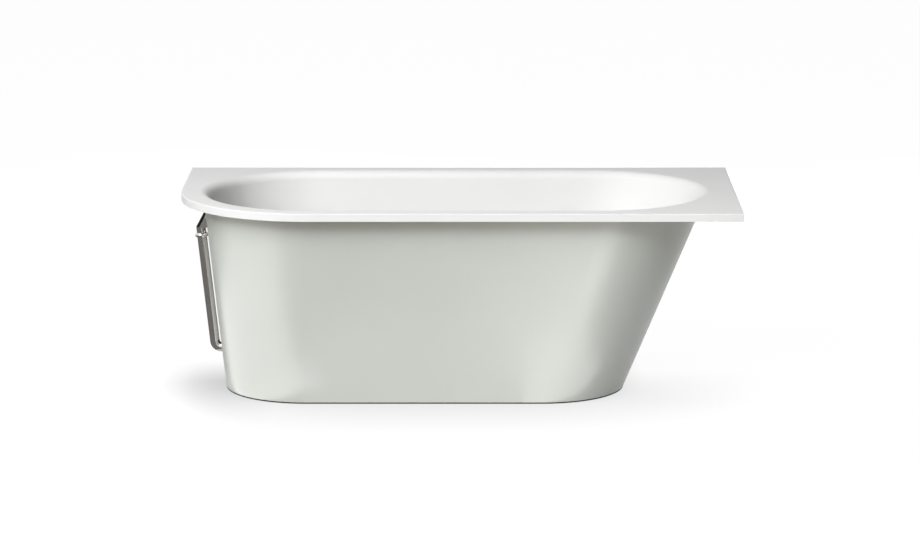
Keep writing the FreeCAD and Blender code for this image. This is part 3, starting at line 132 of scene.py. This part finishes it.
# Finishes
def tone(red, green=None, blue=None):
    """An opaque colour; one number gives a grey."""
    return (red, red if green is None else green, red if blue is None else blue, 1)


class Finish:
    """A procedural surface: one shader and the textures that vary it."""

    def __init__(self, name, **sockets):
        self.material = bpy.data.materials.new(name)
        self.material.use_nodes = True
        self.tree = self.material.node_tree
        self.shader = self.tree.nodes["Principled BSDF"]
        for socket, value in sockets.items():
            self.shader.inputs[socket.replace("_", " ")].default_value = value
        self.place = self.node("TexCoord").outputs["Object"]
        self.normal = None

    def node(self, kind, inputs=None, **settings):
        """A new node; each of its inputs is a fixed value or another node's output."""
        node = self.tree.nodes.new("ShaderNode" + kind)
        for setting, value in settings.items():
            setattr(node, setting, value)
        for socket, value in (inputs or {}).items():
            if isinstance(value, bpy.types.NodeSocket):
                self.tree.links.new(value, node.inputs[socket])
            else:
                node.inputs[socket].default_value = value
        return node

    def spread(self, stretch, turn):
        """The place on the object, stretched and turned for a texture."""
        inputs = {"Vector": self.place, "Scale": stretch, "Rotation": turn}
        return self.node("Mapping", inputs).outputs[0]

    def noise(self, scale, detail, stretch=(1, 1, 1), turn=(0, 0, 0)):
        """Cloudy values from 0 to 1."""
        inputs = {"Vector": self.spread(stretch, turn), "Scale": scale, "Detail": detail}
        return self.node("TexNoise", inputs).outputs["Fac"]

    def patches(self, scale, detail, contrast, first=0, last=1, stretch=(1, 1, 1)):
        """Noise with its contrast opened to run from first to last."""
        return self.ranged(self.noise(scale, detail, stretch), *contrast, first, last)

    def bands(self, scale, axis, distortion):
        """Parallel stripes that follow each other along an axis."""
        inputs = {"Vector": self.place, "Scale": scale, "Distortion": distortion}
        return self.node("TexWave", inputs, bands_direction=axis).outputs["Fac"]

    def ranged(self, value, low, high, first=0, last=1):
        """The value's range from low to high becomes first to last, and stops there."""
        return self.node("MapRange", {"Value": value, "From Min": low, "From Max": high,
                                      "To Min": first, "To Max": last}).outputs["Result"]

    def between(self, value, first, last):
        """A value from 0 to 1 becomes one from first to last."""
        return self.ranged(value, 0, 1, first, last)

    def mixed(self, factor, first, second):
        """Two colours or two numbers, mixed by a factor."""
        if isinstance(first, tuple) or getattr(first, "type", "") == "RGBA":
            return self.node("Mix", {0: factor, 6: first, 7: second}, data_type="RGBA").outputs[2]
        return self.node("Mix", {0: factor, 2: first, 3: second}, data_type="FLOAT").outputs[0]

    def maths(self, operation, *values):
        """One sum on outputs or numbers."""
        return self.node("Math", dict(enumerate(values)), operation=operation).outputs[0]

    def facing(self, axis):
        """How far the surface faces along one axis, from -1 to 1."""
        normal = self.node("NewGeometry").outputs["Normal"]
        return self.node("SeparateXYZ", {0: normal}).outputs[axis]

    def drive(self, **sockets):
        """Textures take over sockets of the shader."""
        for socket, value in sockets.items():
            self.tree.links.new(value, self.shader.inputs[socket.replace("_", " ")])

    def bump(self, height, strength, depth):
        """One more layer of relief, on top of those before it."""
        inputs = {"Height": height, "Strength": strength, "Distance": depth}
        if self.normal:
            inputs["Normal"] = self.normal
        self.normal = self.node("Bump", inputs).outputs["Normal"]
        self.drive(Normal=self.normal)

    def show_only(self, surface):
        """Another surface takes the place of the shader."""
        self.tree.nodes.remove(self.shader)
        self.tree.links.new(surface, self.tree.nodes["Material Output"].inputs["Surface"])
        return self.material


def acrylic_white():
    """Glossy white sheet; its underside shows the pressed glass-fibre backing."""
    finish = Finish("acrylic_white", Specular_IOR_Level=0.1)
    under = finish.ranged(finish.facing("Z"), -0.04, -0.12)
    cloud = finish.patches(5, 3, SOFT)
    strands = finish.mixed(0.5, finish.noise(160, 2, (1, 0.06, 1), (0, 0, 0.5)),
                           finish.noise(160, 2, (0.06, 1, 1), (0, 0, 0.2)))
    strands = finish.ranged(strands, *FIRM)
    white = finish.mixed(cloud, tone(0.81, 0.81, 0.805), tone(0.826, 0.826, 0.821))
    backing = finish.mixed(strands, tone(0.58, 0.55, 0.45), tone(0.74, 0.72, 0.63))
    polished = finish.patches(90, 3, SOFT, first=0.44, last=0.48)
    rough = finish.between(strands, 0.48, 0.62)
    finish.drive(Base_Color=finish.mixed(under, white, backing),
                 Roughness=finish.mixed(under, polished, rough))
    finish.bump(finish.noise(420, 1), strength=0.02, depth=0.0004)
    finish.bump(finish.mixed(under, 0.0, strands), strength=0.5, depth=0.0006)
    return finish.material


def skirt_sage():
    """Sprayed satin enamel on a smooth moulded panel."""
    finish = Finish("skirt_sage", Specular_IOR_Level=0.5)
    cloud = finish.patches(3.5, 3, SOFT)
    fleck = finish.patches(900, 1, FIRM)
    enamel = finish.mixed(cloud, tone(0.566, 0.586, 0.543), tone(0.584, 0.604, 0.56))
    enamel = finish.mixed(finish.between(fleck, 0, 0.25), enamel, tone(0.545, 0.565, 0.52))
    finish.drive(Base_Color=enamel, Roughness=finish.patches(60, 3, SOFT, first=0.31, last=0.35))
    finish.bump(finish.noise(380, 1), strength=0.035, depth=0.0005)
    return finish.material


def rubber_dark():
    """Black rubber with a pale bloom."""
    finish = Finish("rubber_dark", Specular_IOR_Level=0.3)
    bloom = finish.patches(60, 4, STAINED)
    finish.drive(Base_Color=finish.mixed(bloom, tone(0.016), tone(0.036, 0.035, 0.033)),
                 Roughness=finish.between(bloom, 0.6, 0.82))
    finish.bump(finish.noise(1600, 2), strength=0.15, depth=0.0003)
    return finish.material


def timber(name, fibre_stretch, figure_stretch):
    """Plywood: long grain on the faces, glued plies on the cut edges."""
    finish = Finish(name, Specular_IOR_Level=0.25)
    fibre = finish.patches(170, 4, SOFT, stretch=fibre_stretch)
    figure = finish.patches(11, 3, FIRM, stretch=figure_stretch)
    face = finish.mixed(figure, tone(0.60, 0.44, 0.26), tone(0.70, 0.55, 0.36))
    face = finish.mixed(finish.between(fibre, 0, 0.45), face, tone(0.44, 0.29, 0.15))
    plies = finish.ranged(finish.bands(75, "Z", distortion=0.4), *SHARP)
    edge = finish.mixed(plies, tone(0.40, 0.26, 0.14), tone(0.66, 0.50, 0.31))
    flat = finish.ranged(finish.maths("ABSOLUTE", finish.facing("Z")), *SHARP)
    finish.drive(Base_Color=finish.mixed(flat, edge, face), Roughness=finish.between(fibre, 0.55, 0.75))
    finish.bump(fibre, strength=0.3, depth=0.0004)
    finish.bump(finish.mixed(flat, plies, 0.0), strength=0.3, depth=0.0004)
    return finish.material


def zinc_steel():
    """Galvanised steel with its crystal spangle."""
    finish = Finish("zinc_steel", Metallic=1)
    spangle = finish.node("TexVoronoi", {"Vector": finish.place, "Scale": 130}).outputs["Color"]
    grain = finish.node("SeparateColor", {0: spangle}).outputs[0]
    stain = finish.patches(30, 4, STAINED)
    zinc = finish.mixed(grain, tone(0.40, 0.41, 0.42), tone(0.53, 0.54, 0.55))
    finish.drive(Base_Color=finish.mixed(finish.between(stain, 0, 0.5), zinc, tone(0.34, 0.34, 0.335)),
                 Roughness=finish.mixed(stain, finish.between(grain, 0.36, 0.48), 0.58))
    finish.bump(finish.noise(500, 2), strength=0.06, depth=0.0003)
    return finish.material


def moulded(name, dark, pale, smoothest, roughest, specular=0.4):
    """Moulded plastic with a fine eroded grain and faint flow marks."""
    finish = Finish(name, Specular_IOR_Level=specular)
    flow = finish.patches(26, 3, SOFT, stretch=(1, 1, 0.4))
    finish.drive(Base_Color=finish.mixed(flow, dark, pale),
                 Roughness=finish.patches(90, 3, SOFT, first=smoothest, last=roughest))
    finish.bump(finish.noise(2200, 2), strength=0.12, depth=0.0002)
    return finish.material


def chrome():
    """Bright plating with a few dull smudges and fine wiping marks."""
    finish = Finish("chrome", Metallic=1)
    smudge = finish.patches(38, 4, SPARSE)
    wiped = finish.patches(700, 2, FIRM, stretch=(1, 1, 0.08))
    finish.drive(Base_Color=finish.mixed(smudge, tone(0.70, 0.69, 0.67), tone(0.62, 0.61, 0.59)),
                 Roughness=finish.mixed(smudge, finish.between(wiped, 0.06, 0.1), 0.18))
    finish.bump(wiped, strength=0.012, depth=0.0002)
    return finish.material


def brass():
    """Turned brass, tarnished in places."""
    finish = Finish("brass", Metallic=1)
    tarnish = finish.patches(70, 4, STAINED)
    rings = finish.ranged(finish.bands(900, "Z", distortion=1.5), *SOFT)
    finish.drive(Base_Color=finish.mixed(tarnish, tone(0.76, 0.58, 0.28), tone(0.56, 0.40, 0.18)),
                 Roughness=finish.between(tarnish, 0.22, 0.42))
    finish.bump(rings, strength=0.08, depth=0.0002)
    return finish.material


FINISHES = {
    "acrylic_white": acrylic_white(),
    "skirt_sage": skirt_sage(),
    "rubber_dark": rubber_dark(),
    "timber": timber("timber", (0.05, 1, 1), (0.25, 1, 1)),
    "zinc_steel": zinc_steel(),
    "foot_plastic": moulded("foot_plastic", tone(0.020), tone(0.034), 0.42, 0.56),
    "chrome": chrome(),
    "cover_black": moulded("cover_black", tone(0.006), tone(0.011), 0.4, 0.5, specular=0.2),
    "pipe_plastic": moulded("pipe_plastic", tone(0.74, 0.745, 0.73), tone(0.80, 0.80, 0.785),
                            0.34, 0.46),
    "brass": brass(),
    "cable_sheath": moulded("cable_sheath", tone(0.05), tone(0.075), 0.45, 0.6),
}
CROSS_TIMBER = timber("timber_cross", (1, 0.05, 1), (1, 0.25, 1))
CROSS_GRAINED = ("rim_batten_foot", "rim_batten_head")


def dress_nodes():
    """Every solid gets the finish of its slot."""
    for name, node in NODES.items():
        finish = CROSS_TIMBER if name in CROSS_GRAINED else FINISHES[SLOTS[name]]
        node.data.materials.clear()
        node.data.materials.append(finish)


# Fine pieces
def add_piece(name, node, body, vertices, faces, stands_for=True):
    """A detailed piece in the finish of one solid, in its place or on it."""
    mesh = bpy.data.meshes.new(name)
    mesh.from_pydata(vertices, [], faces)
    build = bmesh.new()
    build.from_mesh(mesh)
    bmesh.ops.recalc_face_normals(build, faces=build.faces)
    build.to_mesh(mesh)
    build.free()
    mesh.materials.append(FINISHES[SLOTS[node]])
    piece = bpy.data.objects.new(name, mesh)
    bpy.context.scene.collection.objects.link(piece)
    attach(piece, body)
    if stands_for:
        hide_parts(node)


def islands(node):
    """Lowest and highest corner of each separate solid in a node."""
    build = bmesh.new()
    build.from_mesh(NODES[node].data)
    bmesh.ops.remove_doubles(build, verts=build.verts, dist=1e-6)
    left = set(build.verts)
    boxes = []
    while left:
        patch = [left.pop()]
        for vertex in patch:
            for edge in vertex.link_edges:
                other = edge.other_vert(vertex)
                if other in left:
                    left.remove(other)
                    patch.append(other)
        boxes.append(tuple(Vector(limit(vertex.co[axis] for vertex in patch) for axis in range(3))
                           for limit in (min, max)))
    build.free()
    return sorted(boxes, key=lambda box: tuple(box[0]))


def skin(rings):
    """Faces between rings of equal count, with both ends closed; a ring is a list of points."""
    count = len(rings[0])
    vertices = [point for ring in rings for point in ring]
    faces = [(row * count + turn, row * count + (turn + 1) % count,
              (row + 1) * count + (turn + 1) % count, (row + 1) * count + turn)
             for row in range(len(rings) - 1) for turn in range(count)]
    faces.append(tuple(range(count)))
    faces.append(tuple((len(rings) - 1) * count + turn for turn in range(count)))
    return vertices, faces


def joined(shells):
    """Several shells as one list of points and faces."""
    vertices, faces = [], []
    for points, polygons in shells:
        start = len(vertices)
        vertices += points
        faces += [tuple(start + corner for corner in polygon) for polygon in polygons]
    return vertices, faces


def even_angles(turns):
    """Equal steps round a full turn."""
    return [math.tau * turn / turns for turn in range(turns)]


def shaped_ring(centre, radii, heights):
    """Points at even angles round an upright axis."""
    return [(centre.x + radius * math.cos(angle), centre.y + radius * math.sin(angle), height)
            for angle, radius, height in zip(even_angles(len(radii)), radii, heights)]


def round_ring(centre, radius, height, turns):
    """A level circle of points round an upright axis."""
    return shaped_ring(centre, [radius] * turns, [height] * turns)


def threaded_rod(low, high, pitch=0.0015, depth=0.0008, end_drop=0.0004, turns=20, rows=5):
    """A rod with a screw thread, as large as the box from low to high."""
    centre = (low + high) / 2
    radius = (high.x - low.x) / 2
    length = high.z - low.z
    count = round(length / pitch * rows)
    rings = []
    for row in range(count + 1):
        height = length * row / count
        most = radius - depth - end_drop + min(height, length - height)
        phases = [(height / pitch - turn / turns) % 1 for turn in range(turns)]
        radii = [min(radius - depth * abs(2 * phase - 1), most) for phase in phases]
        rings.append(shaped_ring(centre, radii, [low.z + height] * turns))
    return skin(rings)


def hexagon_nut(low, high, bore, turns=48):
    """A six-sided nut whose corners are turned off at both faces."""
    centre = (low + high) / 2
    flat = (high.x - low.x) / 2 * math.cos(math.pi / 6)
    face = flat * NUT_FACE_SHARE
    outline = [flat / math.cos(angle % (math.pi / 3) - math.pi / 6) for angle in even_angles(turns)]
    drops = [(reach - face) * math.tan(NUT_SLOPE) for reach in outline]
    rings = [round_ring(centre, bore, low.z + NUT_CHAMFER, turns),
             round_ring(centre, bore + NUT_CHAMFER, low.z, turns),
             round_ring(centre, face, low.z, turns),
             shaped_ring(centre, outline, [low.z + drop for drop in drops]),
             shaped_ring(centre, outline, [high.z - drop for drop in drops]),
             round_ring(centre, face, high.z, turns),
             round_ring(centre, bore + NUT_CHAMFER, high.z, turns),
             round_ring(centre, bore, high.z - NUT_CHAMFER, turns)]
    vertices, faces = skin(rings)
    last = (len(rings) - 1) * turns
    bore_faces = [(turn, last + turn, last + (turn + 1) % turns, (turn + 1) % turns)
                  for turn in range(turns)]
    return vertices, faces[:-2] + bore_faces


def wood_screw(low, high, turns=36):
    """A pan-head wood screw, head down, with a lobed recess and a pointed tip."""
    centre = (low + high) / 2
    head = (high.x - low.x) / 2
    lobed = [SCREW_RECESS + SCREW_LOBE * math.cos(SCREW_LOBES * angle) for angle in even_angles(turns)]
    rings = [shaped_ring(centre, lobed, [low.z + SCREW_RECESS_DEPTH] * turns),
             shaped_ring(centre, lobed, [low.z] * turns)]
    profile = [(head * share, low.z + height) for share, height in SCREW_HEAD]
    profile += [(SCREW_SHANK, profile[-1][1]), (SCREW_SHANK, high.z - SCREW_TIP),
                (SCREW_SHANK * SCREW_TIP_SHARE, high.z)]
    rings += [round_ring(centre, radius, height, turns) for radius, height in profile]
    return skin(rings)


def grip_ribs(node, axis, count=18, width=0.0026, height=0.0013, shoulder=0.4, sunk=0.0008,
              margin=0.003, ramp=0.0012, end_rise=0.2):
    """Rounded ribs along the outside of a turned nut, for gripping it."""
    low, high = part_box(node)
    centre = (low + high) / 2
    across = [side for side in range(3) if side != axis]
    radius = (high[across[0]] - low[across[0]]) / 2
    start, end = low[axis] + margin, high[axis] - margin
    stations = ((start, end_rise), (start + ramp, 1), (end - ramp, 1), (end, end_rise))
    section = [(-width / 2, -sunk), (-width / 2, height * shoulder), (-width / 4, height),
               (width / 4, height), (width / 2, height * shoulder), (width / 2, -sunk)]
    shells = []
    for angle in even_angles(count):
        rings = []
        for along, rise in stations:
            ring = []
            for side, lift in section:
                reach = radius + (lift * rise if lift > 0 else lift)
                point = centre.copy()
                point[axis] = along
                point[across[0]] += reach * math.cos(angle) - side * math.sin(angle)
                point[across[1]] += reach * math.sin(angle) + side * math.cos(angle)
                ring.append(tuple(point))
            rings.append(ring)
        shells.append(skin(rings))
    return joined(shells)


def add_fasteners():
    """Studs, nuts and screws take the place of their plain solids; the pipe nuts get ribs."""
    for end in ("foot", "head"):
        for side in ("front", "back"):
            node = f"foot_stud_{end}_{side}"
            low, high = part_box(node)
            add_piece(f"threaded_stud_{end}_{side}", node, f"leveller_{end}_{side}",
                      *threaded_rod(low, high))
    stud_low, stud_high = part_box("foot_stud_foot_front")
    bore = (stud_high.x - stud_low.x) / 2 + NUT_PLAY
    add_piece("hexagon_nuts", "lock_nuts", "tub",
              *joined(hexagon_nut(low, high, bore) for low, high in islands("lock_nuts")))
    for node in ("rail_screws", "bracket_screws"):
        add_piece(f"lobed_{node}", node, "tub",
                  *joined(wood_screw(low, high) for low, high in islands(node)))
    for node, axis in (("pipe_union", 0), ("outlet_nut", 1)):
        add_piece(f"{node}_ribs", node, "tub", *grip_ribs(node, axis), stands_for=False)


# Camera and light
def add_camera():
    """The camera stands far in front of the bath, above its rim."""
    data = bpy.data.cameras.new("camera")
    data.sensor_width = SENSOR_WIDTH
    data.lens = LENS
    data.shift_x = CAMERA_SHIFT
    camera = bpy.data.objects.new("camera", data)
    camera.location = CAMERA_PLACE
    camera.rotation_euler = (CAMERA_TILT, 0, 0)
    bpy.context.scene.collection.objects.link(camera)
    bpy.context.scene.camera = camera


def add_lamp(name, place, size, watts):
    """A rectangular lamp that the camera doesn't see; it faces down until it is turned."""
    data = bpy.data.lights.new(name, "AREA")
    data.shape = "RECTANGLE"
    data.size, data.size_y = size
    data.energy = watts
    lamp = bpy.data.objects.new(name, data)
    lamp.location = place
    lamp.visible_camera = False
    bpy.context.scene.collection.objects.link(lamp)
    return lamp


def add_lamps():
    """The studio's lamps; those at the back don't show in shiny surfaces."""
    for name, (place, aim, size, watts) in LAMPS.items():
        lamp = add_lamp(name, place, size, watts)
        lamp.rotation_euler = (Vector(aim) - Vector(place)).to_track_quat("-Z", "Y").to_euler()
        lamp.visible_glossy = name not in UNMIRRORED


def add_sheens():
    """Lamps flat on the floor that only the panel's gloss shows, as soft upright bands."""
    panel = bpy.data.collections.new("panel")
    panel.objects.link(NODES["skirt"])
    for name, (place, size, turn, watts) in SHEENS.items():
        lamp = add_lamp(name, (*place, SHEEN_LEVEL), size, watts)
        lamp.rotation_euler = (math.pi, 0, math.radians(turn))
        lamp.visible_diffuse = lamp.visible_transmission = False
        lamp.light_linking.receiver_collection = panel


def seen_directly(tree):
    """1 for what the camera sees, straight or in metal and glass, else 0."""
    path = tree.nodes.new("ShaderNodeLightPath")
    total = path.outputs["Is Camera Ray"]
    for ray in ("Is Glossy Ray", "Is Transmission Ray"):
        more = tree.nodes.new("ShaderNodeMath")
        more.operation = "MAXIMUM"
        tree.links.new(total, more.inputs[0])
        tree.links.new(path.outputs[ray], more.inputs[1])
        total = more.outputs[0]
    return total


def add_world():
    """Faint even light all round, in front of a white studio."""
    world = bpy.data.worlds.new("studio")
    bpy.context.scene.world = world
    world.use_nodes = True
    tree = world.node_tree
    tree.nodes.clear()
    out = tree.nodes.new("ShaderNodeOutputWorld")
    soft = tree.nodes.new("ShaderNodeBackground")
    soft.inputs["Color"].default_value = tone(1)
    soft.inputs["Strength"].default_value = WORLD
    white = tree.nodes.new("ShaderNodeBackground")
    white.inputs["Color"].default_value = tone(1)
    mix = tree.nodes.new("ShaderNodeMixShader")
    tree.links.new(seen_directly(tree), mix.inputs["Fac"])
    tree.links.new(soft.outputs[0], mix.inputs[1])
    tree.links.new(white.outputs[0], mix.inputs[2])
    tree.links.new(mix.outputs[0], out.inputs["Surface"])


# Stage
def add_sheet(name, corners, material, hidden_from=()):
    """One flat face, which some kinds of rays pass through."""
    mesh = bpy.data.meshes.new(name)
    mesh.from_pydata(corners, [], [tuple(range(len(corners)))])
    mesh.materials.append(material)
    sheet = bpy.data.objects.new(name, mesh)
    bpy.context.scene.collection.objects.link(sheet)
    for ray in hidden_from:
        setattr(sheet, "visible_" + ray, False)
    return sheet


def add_floor():
    """A white glowing floor with a painted soft shade round the bath, deepest along its foot end."""
    sweep = Finish("floor")
    spot = sweep.node("SeparateXYZ", {0: sweep.place}).outputs
    reach = sweep.ranged(spot["X"], *FOOT_ZONE, *FLOOR_PAINTED_SHADE_REACH)
    depth = sweep.ranged(spot["X"], *FOOT_ZONE, *FLOOR_PAINTED_SHADE)
    # The painted shade fades towards the back beside both ends of the bath
    for near, far, front, back in FLOOR_PAINTED_SHADE_FADES:
        along = sweep.ranged(spot["X"], near, far)
        across = sweep.ranged(spot["Y"], front, back, 0, FLOOR_PAINTED_SHADE_FADE_SHARE)
        fade = sweep.maths("MULTIPLY", along, across)
        depth = sweep.maths("MULTIPLY", depth, sweep.maths("SUBTRACT", 1.0, fade))
    # Painted shade: the bath's occlusion darkens the floor's glow, by a depth and reach set by place
    sky = sweep.node("AmbientOcclusion", {"Distance": reach}, samples=FLOOR_PAINTED_SHADE_SAMPLES)
    shade = sweep.maths("MULTIPLY", sweep.maths("SUBTRACT", 1.0, sky.outputs["AO"]), depth)
    light = sweep.maths("SUBTRACT", FLOOR_LIFT, shade)
    glow = sweep.node("Emission", {"Strength": light}).outputs[0]
    veil = sweep.node("BsdfDiffuse", {"Color": tone(FLOOR_VEIL)}).outputs[0]
    seen = sweep.node("AddShader", {0: glow, 1: veil}).outputs[0]
    matte = sweep.node("BsdfDiffuse", {"Color": tone(FLOOR_BOUNCE)}).outputs[0]
    mix = sweep.node("MixShader", {0: seen_directly(sweep.tree), 1: matte, 2: seen}).outputs[0]
    corners = [(-FLOOR_HALF, -FLOOR_HALF, FLOOR_LEVEL), (FLOOR_HALF, -FLOOR_HALF, FLOOR_LEVEL),
               (FLOOR_HALF, FLOOR_HALF, FLOOR_LEVEL), (-FLOOR_HALF, FLOOR_HALF, FLOOR_LEVEL)]
    floor = add_sheet("floor", corners, sweep.show_only(mix))


def add_flag():
    """A dark glowing card on the floor beside the foot end, seen only in reflections: a painted dark
    reflection.
    """
    start, sweep = FLAG_ARC
    corners = [(*FLAG_CENTRE, FLAG_LEVEL)]
    for step in range(FLAG_STEPS + 1):
        angle = math.radians(start + sweep * step / FLAG_STEPS)
        corners.append((FLAG_CENTRE[0] + FLAG_RADIUS * math.cos(angle),
                        FLAG_CENTRE[1] + FLAG_RADIUS * math.sin(angle), FLAG_LEVEL))
    card = Finish("flag")
    glow = card.node("Emission", {"Color": tone(*PAINTED_REFLECTION_TONE)}).outputs[0]
    flag = add_sheet("flag", corners, card.show_only(glow),
                     hidden_from=("camera", "diffuse", "transmission", "volume_scatter", "shadow"))


def add_basin_card():
    """A black card across the basin that keeps the bounced light of its far end from the foot wall.

    Only light bounced from the foot wall's side meets it, so no view and no reflection shows it.
    """
    cloth = Finish("basin_card")
    black = cloth.node("BsdfDiffuse", {"Color": tone(0)}).outputs[0]
    clear = cloth.node("BsdfTransparent").outputs[0]
    behind = cloth.node("NewGeometry").outputs["Backfacing"]
    across = cloth.node("SeparateXYZ", {0: cloth.place}).outputs["Y"]
    middle = cloth.ranged(cloth.maths("ABSOLUTE", across), CARD_MIDDLE, CARD_HALF, 1, 0)
    dense = cloth.maths("MULTIPLY", behind, middle)
    mix = cloth.node("MixShader", {0: dense, 1: clear, 2: black}).outputs[0]
    corners = [(CARD_PLACE, -CARD_HALF, CARD_LOW), (CARD_PLACE, CARD_HALF, CARD_LOW),
               (CARD_PLACE, CARD_HALF, CARD_HIGH), (CARD_PLACE, -CARD_HALF, CARD_HIGH)]
    card = add_sheet("basin_card", corners, cloth.show_only(mix),
                     hidden_from=("camera", "glossy", "transmission", "volume_scatter", "shadow"))


dress_nodes()
add_fasteners()
add_camera()
add_world()
add_floor()
add_flag()
add_basin_card()
add_lamps()
add_sheens()

bpy.context.scene.view_settings.view_transform = "Standard"
